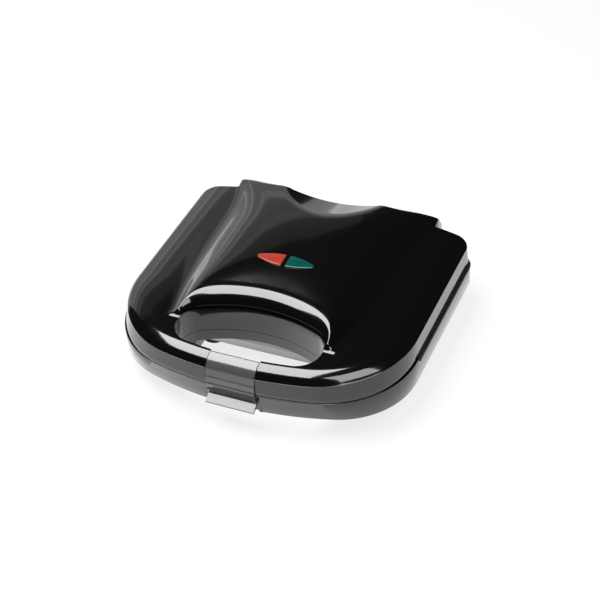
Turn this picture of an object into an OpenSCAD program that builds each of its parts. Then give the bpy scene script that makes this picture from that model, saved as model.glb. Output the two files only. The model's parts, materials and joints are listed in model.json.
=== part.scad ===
// Sandwich toaster with a hinged lid, a through handle and a front clip.
// X runs to the right, Y to the back, Z up. The origin lies on the table under the middle.

/* [Body] */
// Width of the lid at the sharp edge of its shoulder
lid_w = 220; // [212:1:230]
// Depth from the front of the lid to the rear walls
body_l = 191; // [186:1:198]
// Radius of the broad front curve
front_r = 271; // [255:1:290]
// Radius of the two front corners
corner_r = 72; // [70:1:76]
// Radius of the two rear corners
rear_r = 10; // [6:1:14]
// Wall of the moulded housings
wall = 2.4; // [2:0.1:2.8]
// How far the base stands out past the edge of the lid
base_out = 1.4; // [1:0.1:1.8]
// How far the front of the base leans in towards the bottom
base_draft = 3.2; // [2:0.1:4]

/* [Heights] */
// Height of a rubber foot below the belly
foot_h = 5; // [4:0.5:7]
// Depth of the belly below the outer wall of the base
belly_h = 13.2; // [12:0.2:15]
// Height of the outer wall of the base
base_band_h = 18.5; // [17:0.5:20]
// Height of the upright wall of the lid
lid_band_h = 10; // [9:0.5:12]
// Height of the rolled shoulder
roll_h = 10.8; // [10:0.2:12]
// Width of the rolled shoulder
roll_w = 13; // [11:0.5:15]
// Height of the crown above the edge of the shoulder
crown_h = 27; // [26:0.5:30]
// Radius of the crown
crown_r = 600; // [560:10:660]
// Distance from the rear wall to the highest point of the crown
crown_back = 70; // [64:1:76]
// Gap between the two handle halves
split_gap = 0.4; // [0.3:0.1:0.6]

/* [Raised centre] */
// Width of the raised centre at its front
dome_front_w = 124; // [120:1:128]
// Width of the raised centre at its rear
dome_rear_w = 172; // [168:1:174]
// Distance from the front of the lid to the raised centre
dome_in = 38; // [36:1:42]
// Corner radius of the raised centre at its front
dome_r = 22; // [18:1:26]
// Width of the sloping flank of the raised centre, before it narrows to the front
flank_w = 20; // [18:1:22]
// Radius of the scoop between the hinge housings
scoop_r = 130; // [110:1:150]
// Length of the scoop along the top
scoop_l = 30; // [26:1:34]
// Depth of the scoop at the rear wall, below the crown
scoop_drop = 12; // [11:0.5:13]

/* [Handle] */
// Distance from the front of the lid to the handle opening
bar_t = 12; // [11:0.5:13]
// Distance from the front of the lid to the rear of the opening
open_rear = 60; // [58:0.5:61]
// Radius of the rear side of the opening
open_r = 100; // [94:1:108]
// Radius of the ends of the opening
open_end_r = 18; // [15:0.5:20]
// Width of the rounded rim behind the opening
rim_w = 26; // [24:0.5:28]
// Height of the rear wall of the opening in the base
slope_lip = 9; // [7:0.5:10]
// Distance that the sloping underside runs back
slope_run = 10; // [8:0.5:12]
// Thickness of the covers that close the handle halves
cover_t = 2; // [1.6:0.1:2.4]

/* [Plates] */
// Distance from the front of the lid to the plates
plate_in = 72; // [71:0.5:74]
// Thickness of a plate at its rim
rim_t = 1.8; // [1.6:0.1:2.2]
// Thickness of a plate in its pockets
plate_t = 2.2; // [1.8:0.1:2.6]
// Gap between the closed plates
plate_gap = 0.5; // [0.4:0.1:0.8]
// How far the lower plate stands out past the base
plate_lip = 1; // [0.5:0.1:1.4]
// Depth of the triangular pockets
pocket_d = 10.5; // [9:0.5:11]
// Lean of the pocket walls over their depth
pocket_lean = 4.5; // [3.5:0.5:5.5]
// Corner radius of the pockets
pocket_r = 6; // [4:0.5:8]
// Width of the ridges between the pockets
ridge_w = 7; // [6:0.5:8]
// Width of one sandwich square
square_w = 94; // [90:1:96]
// Length of one sandwich square
square_l = 104; // [100:1:106]
// Thickness of the heat shields
shield_t = 0.8; // [0.6:0.1:1]
// Diameter of the heating element
element_d = 6.5; // [6:0.1:7]
// Distance between the two legs of a heating element
element_pitch = 46; // [42:1:50]
// Length of the straight legs
element_l = 132; // [120:1:140]

/* [Hinge] */
// Distance from the rear walls to the hinge axis
hinge_back = 7; // [6.8:0.1:7.2]
// Height of the hinge axis below the edge of the shoulder
hinge_drop = 1; // [0.5:0.5:1.5]
// Outer radius of the hinge skin
skin_r = 9.6; // [9.4:0.1:9.8]
// Outer radius of the knuckles
knuckle_r = 6.8; // [6.4:0.1:6.8]
// Radius of the hinge pins
pin_r = 2.5; // [2:0.1:3]
// Running clearance of pins, on the radius
pin_fit = 0.05; // [0.02:0.01:0.1]
// Width of a knuckle
knuckle_w = 19; // [17:0.5:21]
// Distance from the middle to the centre of a knuckle
knuckle_x = 60; // [58:0.5:61]
// Width of a hinge housing
bump_w = 44; // [42:1:46]

/* [Clip] */
// Width of the front clip
clip_w = 37; // [34:0.5:40]
// Thickness of the front clip
clip_t = 2.2; // [2:0.1:2.4]
// Clearance round the clip
clip_gap = 0.5; // [0.4:0.1:0.8]
// How far the finger tab stands out in front of the lid
tab_out = 5.6; // [5:0.2:6.4]
// Height of the end of the finger tab above the lower edge of the outer wall
tab_up = 6; // [5:0.5:7]
// Number of grip steps on the clip
grip_n = 3; // [2:1:4]

/* [Lamps] */
// Length of a lamp lens
lens_l = 20.4; // [18:0.2:22]
// Width of a lamp lens at its inner end
lens_w = 12; // [10:0.2:13]
// Gap between the two lenses
lens_gap = 3.4; // [3:0.2:5]
// Distance from the front of the lid to the lamps
lamp_in = 101; // [98:1:104]

/* [Hidden] */

// Heights
belly_z = foot_h;
band_z = belly_z + belly_h;
part_z = band_z + base_band_h;
edge_z = part_z + lid_band_h;
top_z = edge_z + crown_h;
base_top = part_z - split_gap / 2;
lid_bottom = part_z + split_gap / 2;
plate_mid = part_z - 0.85;
base_rim = plate_mid - plate_gap / 2 - rim_t;
lid_rim = plate_mid + plate_gap / 2 + rim_t;

// Places along Y
front_y = -(body_l + hinge_back + skin_r - tab_out) / 2;
rear_y = front_y + body_l;
hinge_y = rear_y + hinge_back;
hinge_z = edge_z - hinge_drop;
plate_y0 = front_y + plate_in;
gap_y = plate_y0 - 0.4;
open_y0 = front_y + bar_t;
open_y1 = front_y + open_rear;
lamp_y = front_y + lamp_in;
notch_y = rear_y - 9;
crown_y = rear_y - crown_back;
split_y = plate_y0 - 0.3 - wall;

// The outlines of the body at four heights: half width, front, front radius, corner radius
edge_line = [lid_w / 2, front_y, front_r, corner_r];
part_line = edge_line + [1, -1.1, 0, -7];
base_line = edge_line + [2.2, -base_out, -3, -7];
low_line = edge_line + [2.3, base_draft - base_out, -18, -15];
front_cy = front_y + front_r;

// The handle opening: two arcs with rounded ends
open_cy = open_y1 - open_r;
front_in_r = front_r - bar_t;
end_sum = open_r - open_end_r;
end_far = front_in_r - open_end_r;
end_dist = front_cy - open_cy;
end_y = open_cy + (pow(end_sum, 2) - pow(end_far, 2) + pow(end_dist, 2)) / (2 * end_dist);
end_x = sqrt(pow(end_sum, 2) - pow(end_y - open_cy, 2));
end_rear_a = atan2(end_y - open_cy, end_x);
end_front_a = atan2(end_y - front_cy, end_x);

// The scoop: a cylinder that dips from the crown to the rear wall
scoop_sag = crown_r - sqrt(crown_r * crown_r - pow(crown_back - scoop_l, 2));
scoop_a = atan2(scoop_drop - scoop_sag, scoop_l);

// The clip pivot, inside the front bar
clip_y = front_y + 6;
clip_z = edge_z + 3.2;
clip_pin_r = 1.25;
clip_room = clip_w / 2 + clip_gap;
ear_r = 2.7;

eps = 0.01;
screw_r = 1.5;
screw_fit = 0.05;
head_r = 2.9;
post_r = 3.6;
gloss = [0.07, 0.07, 0.075];

// An arc as points; the last point is left off where the next arc starts there
function arc(c, r, a0, a1, n, last = true) =
  [for (i = [0:last ? n : n - 1]) let (a = a0 + (a1 - a0) * i / n)
    [c[0] + r * cos(a), c[1] + r * sin(a)]];

// An outline of the body, grown by g, with its rear drawn in by b
function ring(o, g, b = 0) =
  let (cy = o[1] + o[2], cx = o[0] - o[3], ky = cy - sqrt(pow(o[2] - o[3], 2) - cx * cx),
    a = atan2(ky - cy, cx), rr = max(rear_r + g, 1), side = o[0] + g - rr, back = rear_y - b - rr)
  concat(
    arc([0, cy], o[2] + g, -180 - a, a, 16, false),
    arc([cx, ky], o[3] + g, a, 0, 12),
    arc([side, back], rr, 0, 90, 4),
    arc([-side, back], rr, 90, 180, 4),
    arc([-cx, ky], o[3] + g, 180, 180 - a, 12, false));

// The outline of the handle opening, grown by g
function open_ring(g) = concat(
  arc([0, front_cy], front_in_r + g, -180 - end_front_a, end_front_a, 14, false),
  arc([end_x, end_y], open_end_r + g, end_front_a, end_rear_a, 10, false),
  arc([0, open_cy], open_r + g, end_rear_a, 180 - end_rear_a, 20, false),
  arc([-end_x, end_y], open_end_r + g, 180 - end_rear_a, 180 - end_front_a, 10, false));

// The outline of the raised centre, drawn in by e; its flanks are narrow at the front and wide at the rear
flank_front = 0.4;
flank_rear = 1.25;
function dome_ring(e) =
  let (hf = dome_front_w / 2 - e * flank_front, hr = dome_rear_w / 2 - e * flank_rear,
    y0 = front_y + dome_in + e, r = max(dome_r - e, 3))
  concat(
    arc([hf - r, y0 + r], r, -90, 0, 6),
    [[hr, crown_y], [hr, rear_y + 12], [-hr, rear_y + 12], [-hr, crown_y]],
    arc([r - hf, y0 + r], r, 180, 270, 6));

// A corner of a rounded triangle lies on the line from its corner to its centre of gravity
function tri_ring(t, inset, r) =
  let (a = norm(t[1] - t[2]), b = norm(t[2] - t[0]), c = norm(t[0] - t[1]),
    mid = (a * t[0] + b * t[1] + c * t[2]) / (a + b + c),
    area = abs((t[1] - t[0])[0] * (t[2] - t[0])[1] - (t[1] - t[0])[1] * (t[2] - t[0])[0]) / 2,
    k = 1 - (inset + r) / (2 * area / (a + b + c)))
  [for (i = [0:2]) let (p = mid + (t[i] - mid) * k, u = t[i] - t[(i + 2) % 3], v = t[(i + 1) % 3] - t[i],
    a0 = atan2(u[1], u[0]) - 90, turn = (atan2(v[1], v[0]) - atan2(u[1], u[0]) + 720) % 360)
    each arc(p, r, a0, a0 + turn, 4)];

// A solid through a stack of outlines, each given as [points, height]
module loft(rings) {
  n = len(rings[0][0]);
  m = len(rings);
  points = [for (r = rings) for (p = r[0]) [p[0], p[1], r[1]]];
  skin = [for (k = [0:m - 2]) for (i = [0:n - 1])
    let (a = k * n + i, b = k * n + (i + 1) % n) each [[a, a + n, b], [b, a + n, b + n]]];
  bottom = [for (i = [0:n - 1]) i];
  lid = [for (i = [n - 1:-1:0]) (m - 1) * n + i];
  polyhedron(points, concat([bottom], skin, [lid]));
}

// A bar along X from x0 to x1 whose section in Y and Z is given
module bar(x0, x1, section) {
  translate([x0, 0, 0]) rotate([90, 0, 90]) linear_extrude(x1 - x0) polygon(section);
}

// A rod along X
module rod(x0, x1, y, z, r, fn = 48) {
  translate([x0, y, z]) rotate([0, 90, 0]) cylinder(r = r, h = x1 - x0, $fn = fn);
}

// A box between two corners
module block(a, b) {
  translate(a) cube(b - a);
}

module both_sides() {
  children();
  mirror([1, 0, 0]) children();
}

// ---- Lid housing ----

roll_n = 5;
roll = [for (i = [1:roll_n]) let (a = 90 * i / roll_n) [-roll_w * (1 - cos(a)), edge_z + roll_h * sin(a)]];
shoulder_end = [-24, edge_z + roll_h + 0.2];
lid_profile = concat([[0, edge_z]], roll, [shoulder_end]);

flank_z = edge_z + roll_h;
flank_curve = [[0, -0.6], [0.25, 3.2], [0.55, 8.3], [0.8, 11.4], [1, 13]];
flank = [for (p = flank_curve) [p[0] * flank_w, flank_z + p[1]]];
dome_profile = concat([[0, edge_z]], flank, [[flank_w + 22, top_z + 3]]);

// The rear of the hinge housings leans forward above the hinge
bump_in = knuckle_x - bump_w / 2;
bump_out = knuckle_x + bump_w / 2;
lean = [[15.6, 1], [13.2, 6.4], [7.4, 15], [5, 18], [1, 19.8]];
module lean_cut(t) {
  bar(-lid_w, lid_w, concat([for (p = lean) [rear_y + p[0] - t, edge_z + p[1] - (p[0] < 5 ? t : 0)]],
    [[rear_y - 12, top_z + 3], [rear_y + 40, top_z + 3], [rear_y + 40, edge_z]]));
}

// The crown: the top of a large ball
module crown(t) {
  translate([0, crown_y, top_z - crown_r]) sphere(r = crown_r - t, $fn = 240);
}

// The whole form of the lid above its edge, drawn in by t all over
module lid_form(t) {
  loft(concat([[ring(part_line, -t, t), lid_bottom - t]],
    [for (s = lid_profile) [ring(edge_line, s[0] - t, t), s[1] - t]]));
  difference() {
    intersection() {
      loft([for (s = dome_profile) [dome_ring(s[0] + t), s[1] - t]]);
      crown(t);
    }
    lean_cut(t);
    block([-bump_in - t, rear_y - t, 0], [bump_in + t, rear_y + 20, top_z + 4]);
    both_sides() block([bump_out - t, rear_y - t, 0], [lid_w, rear_y + 20, top_z + 4]);
  }
}

// The cutter that rolls the rim behind the handle opening; only its rear arc grows
function rim_ring(g) =
  let (rf = front_in_r - 0.6, ro = open_r + g, ea = ro - open_end_r, eb = rf - open_end_r,
    ey = open_cy + (ea * ea - eb * eb + end_dist * end_dist) / (2 * end_dist),
    ex = sqrt(ea * ea - pow(ey - open_cy, 2)), ar = atan2(ey - open_cy, ex), af = atan2(ey - front_cy, ex))
  concat(
    arc([0, front_cy], rf, -180 - af, af, 8, false),
    arc([ex, ey], open_end_r, af, ar, 8, false),
    arc([0, open_cy], ro, ar, 180 - ar, 20, false),
    arc([-ex, ey], open_end_r, 180 - ar, 180 - af, 8, false));
rim_z = edge_z - 2;
rim_h = top_z - 1.6 - rim_z;
module rim_cut(t) {
  loft(concat([[rim_ring(t), rim_z - t]], [for (i = [1:6]) let (a = 90 * i / 6)
    [rim_ring(t + rim_w * (1 - cos(a))), rim_z + rim_h * sin(a) - t]], [[rim_ring(rim_w + 16), top_z + 4]]));
}

module scoop_cut(t) {
  translate([0, rear_y, top_z - scoop_drop]) rotate([90 - scoop_a, 0, 0])
    translate([0, scoop_r, -30]) cylinder(r = scoop_r + t, h = 140, $fn = 180);
}

module lid_outer() {
  difference() {
    union() {
      lid_form(0);
      both_sides() {
        rod(bump_in, bump_out, hinge_y, hinge_z, skin_r, 64);
        bar(bump_in, bump_out, [[rear_y - 5, hinge_z], [hinge_y, hinge_z],
          [hinge_y + 2.6, hinge_z + skin_r - 0.4], [rear_y - 5, edge_z + roll_h]]);
      }
    }
    rim_cut(0);
    scoop_cut(0);
    both_sides() block([bump_in - 1, rear_y - 9, hinge_z - skin_r - 1],
      [bump_out + 1, hinge_y + skin_r + 2, hinge_z - 0.8]);
    block([-lid_w, gap_y, 0], [lid_w, rear_y + 1, lid_rim]);
  }
}

module lid_cavity() {
  difference() {
    union() {
      difference() {
        lid_form(wall);
        rim_cut(wall);
        scoop_cut(wall);
      }
      loft([[ring(part_line, -wall, wall), lid_bottom - 1], [ring(edge_line, -wall, wall), edge_z - wall + 1]]);
    }
    loft([[open_ring(wall), lid_bottom - 2], [open_ring(wall), top_z]]);
    block([-lid_w, split_y, lid_bottom - 2], [lid_w, split_y + wall, top_z]);
  }
}

// A bore for a screw, upwards from z
module screw_bore(x, y, z, h) {
  translate([x, y, z]) cylinder(r = screw_r + screw_fit, h = h, $fn = 32);
}

module lid_post(p, z1) {
  translate([p[0], p[1], lid_rim]) cylinder(r = post_r, h = z1 - lid_rim, $fn = 32);
}

module lid_housing() color(gloss) difference() {
  union() {
    difference() {
      lid_outer();
      lid_cavity();
      both_sides() hinge_hollow();
    }
    both_sides() for (x = [knuckle_x - knuckle_w / 2 - 3.4, knuckle_x + knuckle_w / 2 + 0.4]) cheek(x);
    for (p = plate_screw_spots)
      lid_post(p, p[0] == 0 ? (p[1] < clamp_y ? top_z - 4.4 : top_z - 8) : edge_z + 2);
    for (p = cover_screw_spots) translate([p[0], p[1], lid_bottom + cover_t])
      cylinder(r = post_r, h = flank_z - 0.8 - lid_bottom - cover_t, $fn = 32);
    for (x = [-1, 1]) translate([x * holder_x, lamp_y, holder_z + holder_t])
      cylinder(r = post_r, h = top_z - wall - 0.6 - holder_z - holder_t, $fn = 32);
    both_sides() clip_cheek();
  }
  loft([[open_ring(0), lid_bottom - 2], [open_ring(0), top_z + 2]]);
  clip_recess_lid();
  both_sides() rod(0, clip_pin_half + 0.2, clip_y, clip_z, clip_pin_r + pin_fit, 32);
  both_sides() rod(knuckle_x - 16, knuckle_x + 16, hinge_y, hinge_z, pin_r + pin_fit);
  for (p = plate_screw_spots) screw_bore(p[0], p[1], lid_rim - 1, 11);
  for (p = cover_screw_spots) screw_bore(p[0], p[1], lid_bottom, 11);
  for (x = [-1, 1]) screw_bore(x * holder_x, lamp_y, holder_z, 9);
  both_sides() lens_solid(0.15, top_z - 8, top_z + 4);
}

// The space inside a hinge housing, open below the axis where the base reaches in
module hinge_hollow() {
  rod(bump_in + wall, bump_out - wall, hinge_y, hinge_z, skin_r - wall + 0.1, 64);
  block([bump_in + wall, rear_y - 12, lid_rim - 1], [bump_out - wall, hinge_y, hinge_z]);
}

// One bearing wall for the hinge pin
module cheek(x) {
  rod(x, x + 3, hinge_y, hinge_z, skin_r - 0.6);
}

// The walls beside the clip, which hold the clip pin
clip_pin_half = clip_room + wall + 0.4;
module clip_cheek() {
  intersection() {
    block([clip_room, front_y - 4, lid_bottom], [clip_room + wall + 1, open_y0, edge_z + roll_h]);
    lid_form(0.3);
  }
}

module clip_recess_lid() {
  block([-clip_room, front_y - 10, lid_bottom - 3], [clip_room, open_y0 - wall, top_z]);
  block([-clip_room, front_y - 10, edge_z + 5], [clip_room, open_y0 + 3, top_z]);
}

// ---- Base housing ----

belly_front = open_y1 + 2 + slope_run;
lip_z = base_top + split_gap / 2 - slope_lip;

function belly_ring(e, front) = let (h = lid_w / 2 - e, r = 14, y1 = rear_y - e) concat(
  arc([h - r, front + r], r, -90, 0, 4), arc([h - r, y1 - r], r, 0, 90, 4),
  arc([r - h, y1 - r], r, 90, 180, 4), arc([r - h, front + r], r, 180, 270, 4));

belly_side = 3;
belly_lean = 10;
module belly_form(t) {
  rise = (belly_front - open_y1 - 2) * (belly_h) / (lip_z - belly_z);
  loft([[belly_ring(belly_side + belly_lean + t, belly_front + t), belly_z + t],
    [belly_ring(belly_side + t, belly_front - rise + t), band_z + t]]);
}

// The underside behind the opening slopes down to the belly
slope_x = end_x + 13;
module slope_cut() {
  bar(-slope_x, slope_x, [[end_y, lip_z], [open_y1 + 2, lip_z],
    [belly_front, belly_z], [belly_front, belly_z - 1], [end_y, belly_z - 1]]);
}

module base_cavity() {
  difference() {
    union() {
      loft([[ring(low_line, -wall, wall), band_z + wall], [ring(base_line, -wall, wall), base_top + 1]]);
      difference() {
        belly_form(wall);
        block([-lid_w, front_y, 0], [lid_w, split_y + wall, part_z]);
      }
    }
    loft([[open_ring(wall), 0], [open_ring(wall), top_z]]);
    block([-lid_w, split_y, 0], [lid_w, split_y + wall, top_z]);
    bar(-slope_x - wall, slope_x + wall, [[end_y - wall, 0], [end_y - wall, lip_z + wall],
      [open_y1 + 3, lip_z + wall], [belly_front + 3.2, belly_z + wall], [belly_front + 3.2, 0]]);
  }
}

module base_post(p, z0, z1) {
  translate([p[0], p[1], z0]) cylinder(r = post_r, h = z1 - z0, $fn = 32);
}

module base_housing() color(gloss) difference() {
  union() {
    difference() {
      union() {
        loft([[ring(low_line, 0), band_z], [ring(base_line, 0), base_top]]);
        belly_form(0);
      }
      base_cavity();
    }
    for (p = plate_screw_spots) base_post(p, p[0] == 0 ? belly_z + 1 : band_z + 1, base_rim);
    for (p = cover_screw_spots) base_post(p, band_z + 1, base_top - cover_t);
    both_sides() knuckle();
    clip_wall();
  }
  difference() {
    block([-lid_w, gap_y, base_rim], [lid_w, rear_y + 5, part_z + 2]);
    both_sides() knuckle();
  }
  loft([[open_ring(0), 0], [open_ring(0), top_z]]);
  slope_cut();
  clip_recess_base();
  both_sides() rod(knuckle_x - 16, knuckle_x + 16, hinge_y, hinge_z, pin_r + pin_fit);
  for (p = plate_screw_spots) screw_bore(p[0], p[1], base_rim - 10, 11);
  for (p = cover_screw_spots) screw_bore(p[0], p[1], base_top - cover_t - 9, 10);
  for (p = foot_spots) translate([p[0], p[1], belly_z - 1]) cylinder(r = foot_plug_r, h = 6, $fn = 32);
  translate([0, rear_y + 2, gland_z]) rotate([90, 0, 0]) cylinder(r = gland_r, h = 6, $fn = 40);
}

// A hinge knuckle on its neck, which leans back from the rear wall
neck = [[-6.57, -1.76], [0, 0], [-2.33, -6.39], [-3.35, -9.2],
  [-7.5, -13], [-7.6, -24], [-14, -24], [-12.4, -14]];
module knuckle() {
  x0 = knuckle_x - knuckle_w / 2;
  x1 = knuckle_x + knuckle_w / 2;
  rod(x0, x1, hinge_y, hinge_z, knuckle_r);
  bar(x0, x1, [for (p = neck) [hinge_y + p[0], hinge_z + p[1]]]);
}

// The face of the clip follows the front of the body
function clip_face(z) = z > part_z ? front_y - base_out * max(edge_z - z, 0) / (edge_z - part_z)
  : front_y - base_out + (base_draft - 0.4) * (part_z - z) / (part_z - band_z);
function wall_face(z) = clip_face(z) + clip_t + clip_gap;

// The recessed wall behind the clip, with the window that its hook enters
module clip_wall() {
  bar(-clip_room - wall, clip_room + wall, [[wall_face(band_z), band_z],
    [wall_face(band_z) + wall, band_z], [wall_face(part_z) + wall, base_top], [wall_face(part_z), base_top]]);
  both_sides() bar(clip_room, clip_room + wall, [[clip_face(band_z) + 1, band_z],
    [wall_face(band_z) + wall, band_z], [wall_face(part_z) + wall, base_top],
    [clip_face(part_z) + 1, base_top]]);
}

hook_z = part_z - 9;
hook_h = 2.6;
hook_w = 22;
module clip_recess_base() {
  bar(-clip_room, clip_room, [[front_y - 12, belly_z], [wall_face(band_z), belly_z],
    [wall_face(band_z), band_z], [wall_face(part_z), part_z], [wall_face(part_z), part_z + 2],
    [front_y - 12, part_z + 2]]);
  block([-hook_w / 2 - 0.6, front_y - 2, hook_z - 0.6],
    [hook_w / 2 + 0.6, front_y + 8, hook_z + hook_h + 0.6]);
}

// ---- Plates ----

square_x = ridge_w / 2 + 0.5;
square_y = (plate_y0 + notch_y - square_l) / 2 + 0.5;
pocket_tris = let (x0 = square_x, x1 = square_x + square_w, y0 = square_y, y1 = square_y + square_l)
  [[[x0, y0], [x1, y0], [x0, y1]], [[x1, y1], [x0, y1], [x1, y0]]];
ridge_half = ridge_w / 2;

clamp_y = square_y + square_l / 2;
side_screw_x = lid_w / 2 - 5;
plate_screw_spots = [[0, plate_y0 + 11], [0, notch_y - 8], [-side_screw_x, clamp_y], [side_screw_x, clamp_y]];
cover_screw_x = lid_w / 2 - 26;
cover_screw_spots = [for (s = [-1, 1]) [s * cover_screw_x, plate_y0 - 14]];

module pockets(out, z_rim, z_deep, extra) {
  both_sides() for (t = pocket_tris)
    loft([[tri_ring(t, ridge_half * 0.8 - out + pocket_lean, pocket_r), z_deep],
      [tri_ring(t, ridge_half * 0.8 - out - extra * pocket_lean / pocket_d, pocket_r), z_rim]]);
}

// The plate lies with its rim at 0 and its pockets hanging down
module plate(lip) {
  difference() {
    union() {
      intersection() {
        translate([0, 0, -rim_t]) linear_extrude(rim_t) polygon(ring(base_line, lip));
        block([-lid_w, plate_y0, -rim_t - 1], [lid_w, rear_y + 9, 1]);
      }
      pockets(plate_t, -eps, -pocket_d - plate_t, 0);
      translate([0, clamp_y, -pocket_d - plate_t - element_d])
        cylinder(r = 3.4, h = pocket_d + plate_t + element_d - 0.5, $fn = 32);
    }
    pockets(0, 0.5, -pocket_d, 0.5);
    both_sides() block([knuckle_x - knuckle_w / 2 - 4, notch_y, -rim_t - 1],
      [knuckle_x + knuckle_w / 2 + 4, rear_y + 3, 1]);
    for (p = plate_screw_spots) {
      translate([p[0], p[1], -rim_t - 1]) cylinder(r = screw_r + 0.2, h = rim_t + 2, $fn = 32);
      translate([p[0], p[1], -1]) cylinder(r = head_r + 0.2, h = 2, $fn = 32);
    }
    translate([0, clamp_y, -pocket_d - plate_t - element_d - 1])
      cylinder(r = screw_r + screw_fit, h = 10, $fn = 32);
  }
}

// Turns a lower piece into its upper twin
module upper() {
  translate([0, 0, 2 * plate_mid]) mirror([0, 0, 1]) children();
}

lower_face = plate_mid - plate_gap / 2;
module lower_plate() color([0.1, 0.1, 0.11]) translate([0, 0, lower_face]) plate(plate_lip);
module upper_plate() color([0.16, 0.16, 0.17]) upper() translate([0, 0, lower_face]) plate(-1.2);

// ---- Heating elements and heat shields ----

element_z = lower_face - pocket_d - plate_t - element_d / 2;
element_x = -element_l / 2 - 8;

module element() {
  r = element_d / 2;
  for (s = [-1, 1]) {
    rod(element_x, element_x + element_l, clamp_y + s * element_pitch / 2, element_z, r, 32);
    rod(element_x - 9, element_x, clamp_y + s * element_pitch / 2, element_z, 1.4, 24);
    block([element_x - 16, clamp_y + s * element_pitch / 2 - 3.1, element_z - 0.4],
      [element_x - 8, clamp_y + s * element_pitch / 2 + 3.1, element_z + 0.4]);
  }
  translate([element_x + element_l, clamp_y, element_z]) rotate([0, 0, -90])
    rotate_extrude(angle = 180, $fn = 64) translate([element_pitch / 2, 0]) circle(r = r, $fn = 32);
}

clamp_t = 1;
clamp_half = 7;
module clamp() {
  difference() {
    translate([-clamp_half, clamp_y - element_pitch / 2 - clamp_half, element_z - element_d / 2 - clamp_t])
      cube([2 * clamp_half, element_pitch + 2 * clamp_half, clamp_t]);
    translate([0, clamp_y, element_z - 10]) cylinder(r = screw_r + 0.2, h = 12, $fn = 32);
  }
}

module screw(x, y, z, l, head_h = 1.5) {
  translate([x, y, z]) cylinder(r = screw_r, h = l, $fn = 32);
  difference() {
    translate([x, y, z - head_h]) cylinder(r = head_r - 0.2, h = head_h, $fn = 32);
    for (a = [0, 90]) translate([x, y, z - head_h]) rotate([0, 0, a]) cube([3.2, 0.8, 1.2], center = true);
  }
}

shield_z = element_z - element_d / 2 - clamp_t - shield_t;
shield_w = 64;
shield_l = 80;
shield_edge = 1.5;
module heat_shield() {
  y0 = clamp_y - shield_l / 2;
  y1 = clamp_y + shield_l / 2;
  difference() {
    block([-shield_w, y0, shield_z], [shield_w, y1, shield_z + shield_edge]);
    block([-shield_w + shield_t, y0 + shield_t, shield_z + shield_t],
      [shield_w - shield_t, y1 - shield_t, shield_z + 5]);
    translate([0, clamp_y, shield_z - 1]) cylinder(r = screw_r + 0.2, h = 4, $fn = 32);
    children();
  }
}

module lower_element() color([0.35, 0.33, 0.3]) element();
module upper_element() color([0.35, 0.33, 0.3]) upper() element();
module lower_clamp() color([0.7, 0.7, 0.72]) clamp();
module upper_clamp() color([0.7, 0.7, 0.72]) upper() clamp();
module lower_heat_shield() color([0.78, 0.78, 0.8]) heat_shield();
module upper_heat_shield() color([0.78, 0.78, 0.8]) upper() heat_shield() for (x = [-thermo_x, thermo_x])
  translate([x, clamp_y, shield_z - 1]) cylinder(r = 9.5, h = 4, $fn = 40);
module lower_clamp_screw() color([0.75, 0.75, 0.76]) screw(0, clamp_y, shield_z, 9);
module upper_clamp_screw() color([0.75, 0.75, 0.76]) upper() screw(0, clamp_y, shield_z, 9);

// Screws that sit flush below the height z and run down into the posts of the housings
module flush_screws(spots, z) {
  for (p = spots) translate([p[0], p[1], z]) {
    translate([0, 0, -9.5]) cylinder(r = screw_r, h = 9, $fn = 32);
    difference() {
      translate([0, 0, -1]) cylinder(r = head_r, h = 0.9, $fn = 32);
      for (a = [0, 90]) rotate([0, 0, a]) cube([3.4, 0.8, 1], center = true);
    }
  }
}
module lower_plate_screws() color([0.6, 0.6, 0.62]) flush_screws(plate_screw_spots, lower_face);
module upper_plate_screws() color([0.6, 0.6, 0.62]) upper() flush_screws(plate_screw_spots, lower_face);

// ---- Handle covers ----

module handle_cover(g, z0) {
  difference() {
    translate([0, 0, z0]) linear_extrude(cover_t) polygon(ring(g, -wall - 0.9));
    block([-lid_w, split_y - 0.3, z0 - 1], [lid_w, rear_y + 9, z0 + 9]);
    translate([0, 0, z0 - 1]) linear_extrude(9) polygon(open_ring(wall + 0.3));
    block([-clip_room - wall - 1.3, front_y - 9, z0 - 1],
      [clip_room + wall + 1.3, open_y0 + 5, z0 + 9]);
    for (p = cover_screw_spots) translate([p[0], p[1], z0 - 1])
      cylinder(r = screw_r + 0.2, h = 9, $fn = 32);
  }
}
module base_handle_cover() color([0.1, 0.1, 0.1]) difference() {
  handle_cover(base_line, base_top - cover_t);
  for (p = cover_screw_spots) translate([p[0], p[1], base_top - 1])
    cylinder(r = head_r + 0.2, h = 3, $fn = 32);
}
module lid_handle_cover() color([0.1, 0.1, 0.1]) difference() {
  handle_cover(edge_line, lid_bottom);
  for (p = cover_screw_spots) translate([p[0], p[1], lid_bottom - 2])
    cylinder(r = head_r + 0.2, h = 3, $fn = 32);
}
module base_cover_screws() color([0.6, 0.6, 0.62]) flush_screws(cover_screw_spots, base_top);
module lid_cover_screws() color([0.6, 0.6, 0.62]) translate([0, 0, 2 * part_z]) mirror([0, 0, 1])
  flush_screws(cover_screw_spots, base_top);

// ---- Feet, gland, terminal block, pins ----

foot_spots = [[-56, belly_front + 11], [56, belly_front + 11], [-56, rear_y - 26], [56, rear_y - 26]];
foot_r = 9.6;
foot_plug_r = 3.5;
module foot(i) color([0.09, 0.09, 0.09]) translate([foot_spots[i][0], foot_spots[i][1], 0]) {
  rotate_extrude($fn = 48) polygon([[0, 0.8], [5, 0.8], [6, 0], [foot_r - 1, 0], [foot_r, 1],
    [foot_r, foot_h - 1], [foot_r - 0.6, foot_h], [foot_plug_r - 0.1, foot_h],
    [foot_plug_r - 0.1, foot_h + wall + 1], [0, foot_h + wall + 1]]);
}
module foot_front_left() foot(0);
module foot_front_right() foot(1);
module foot_rear_left() foot(2);
module foot_rear_right() foot(3);

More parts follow.
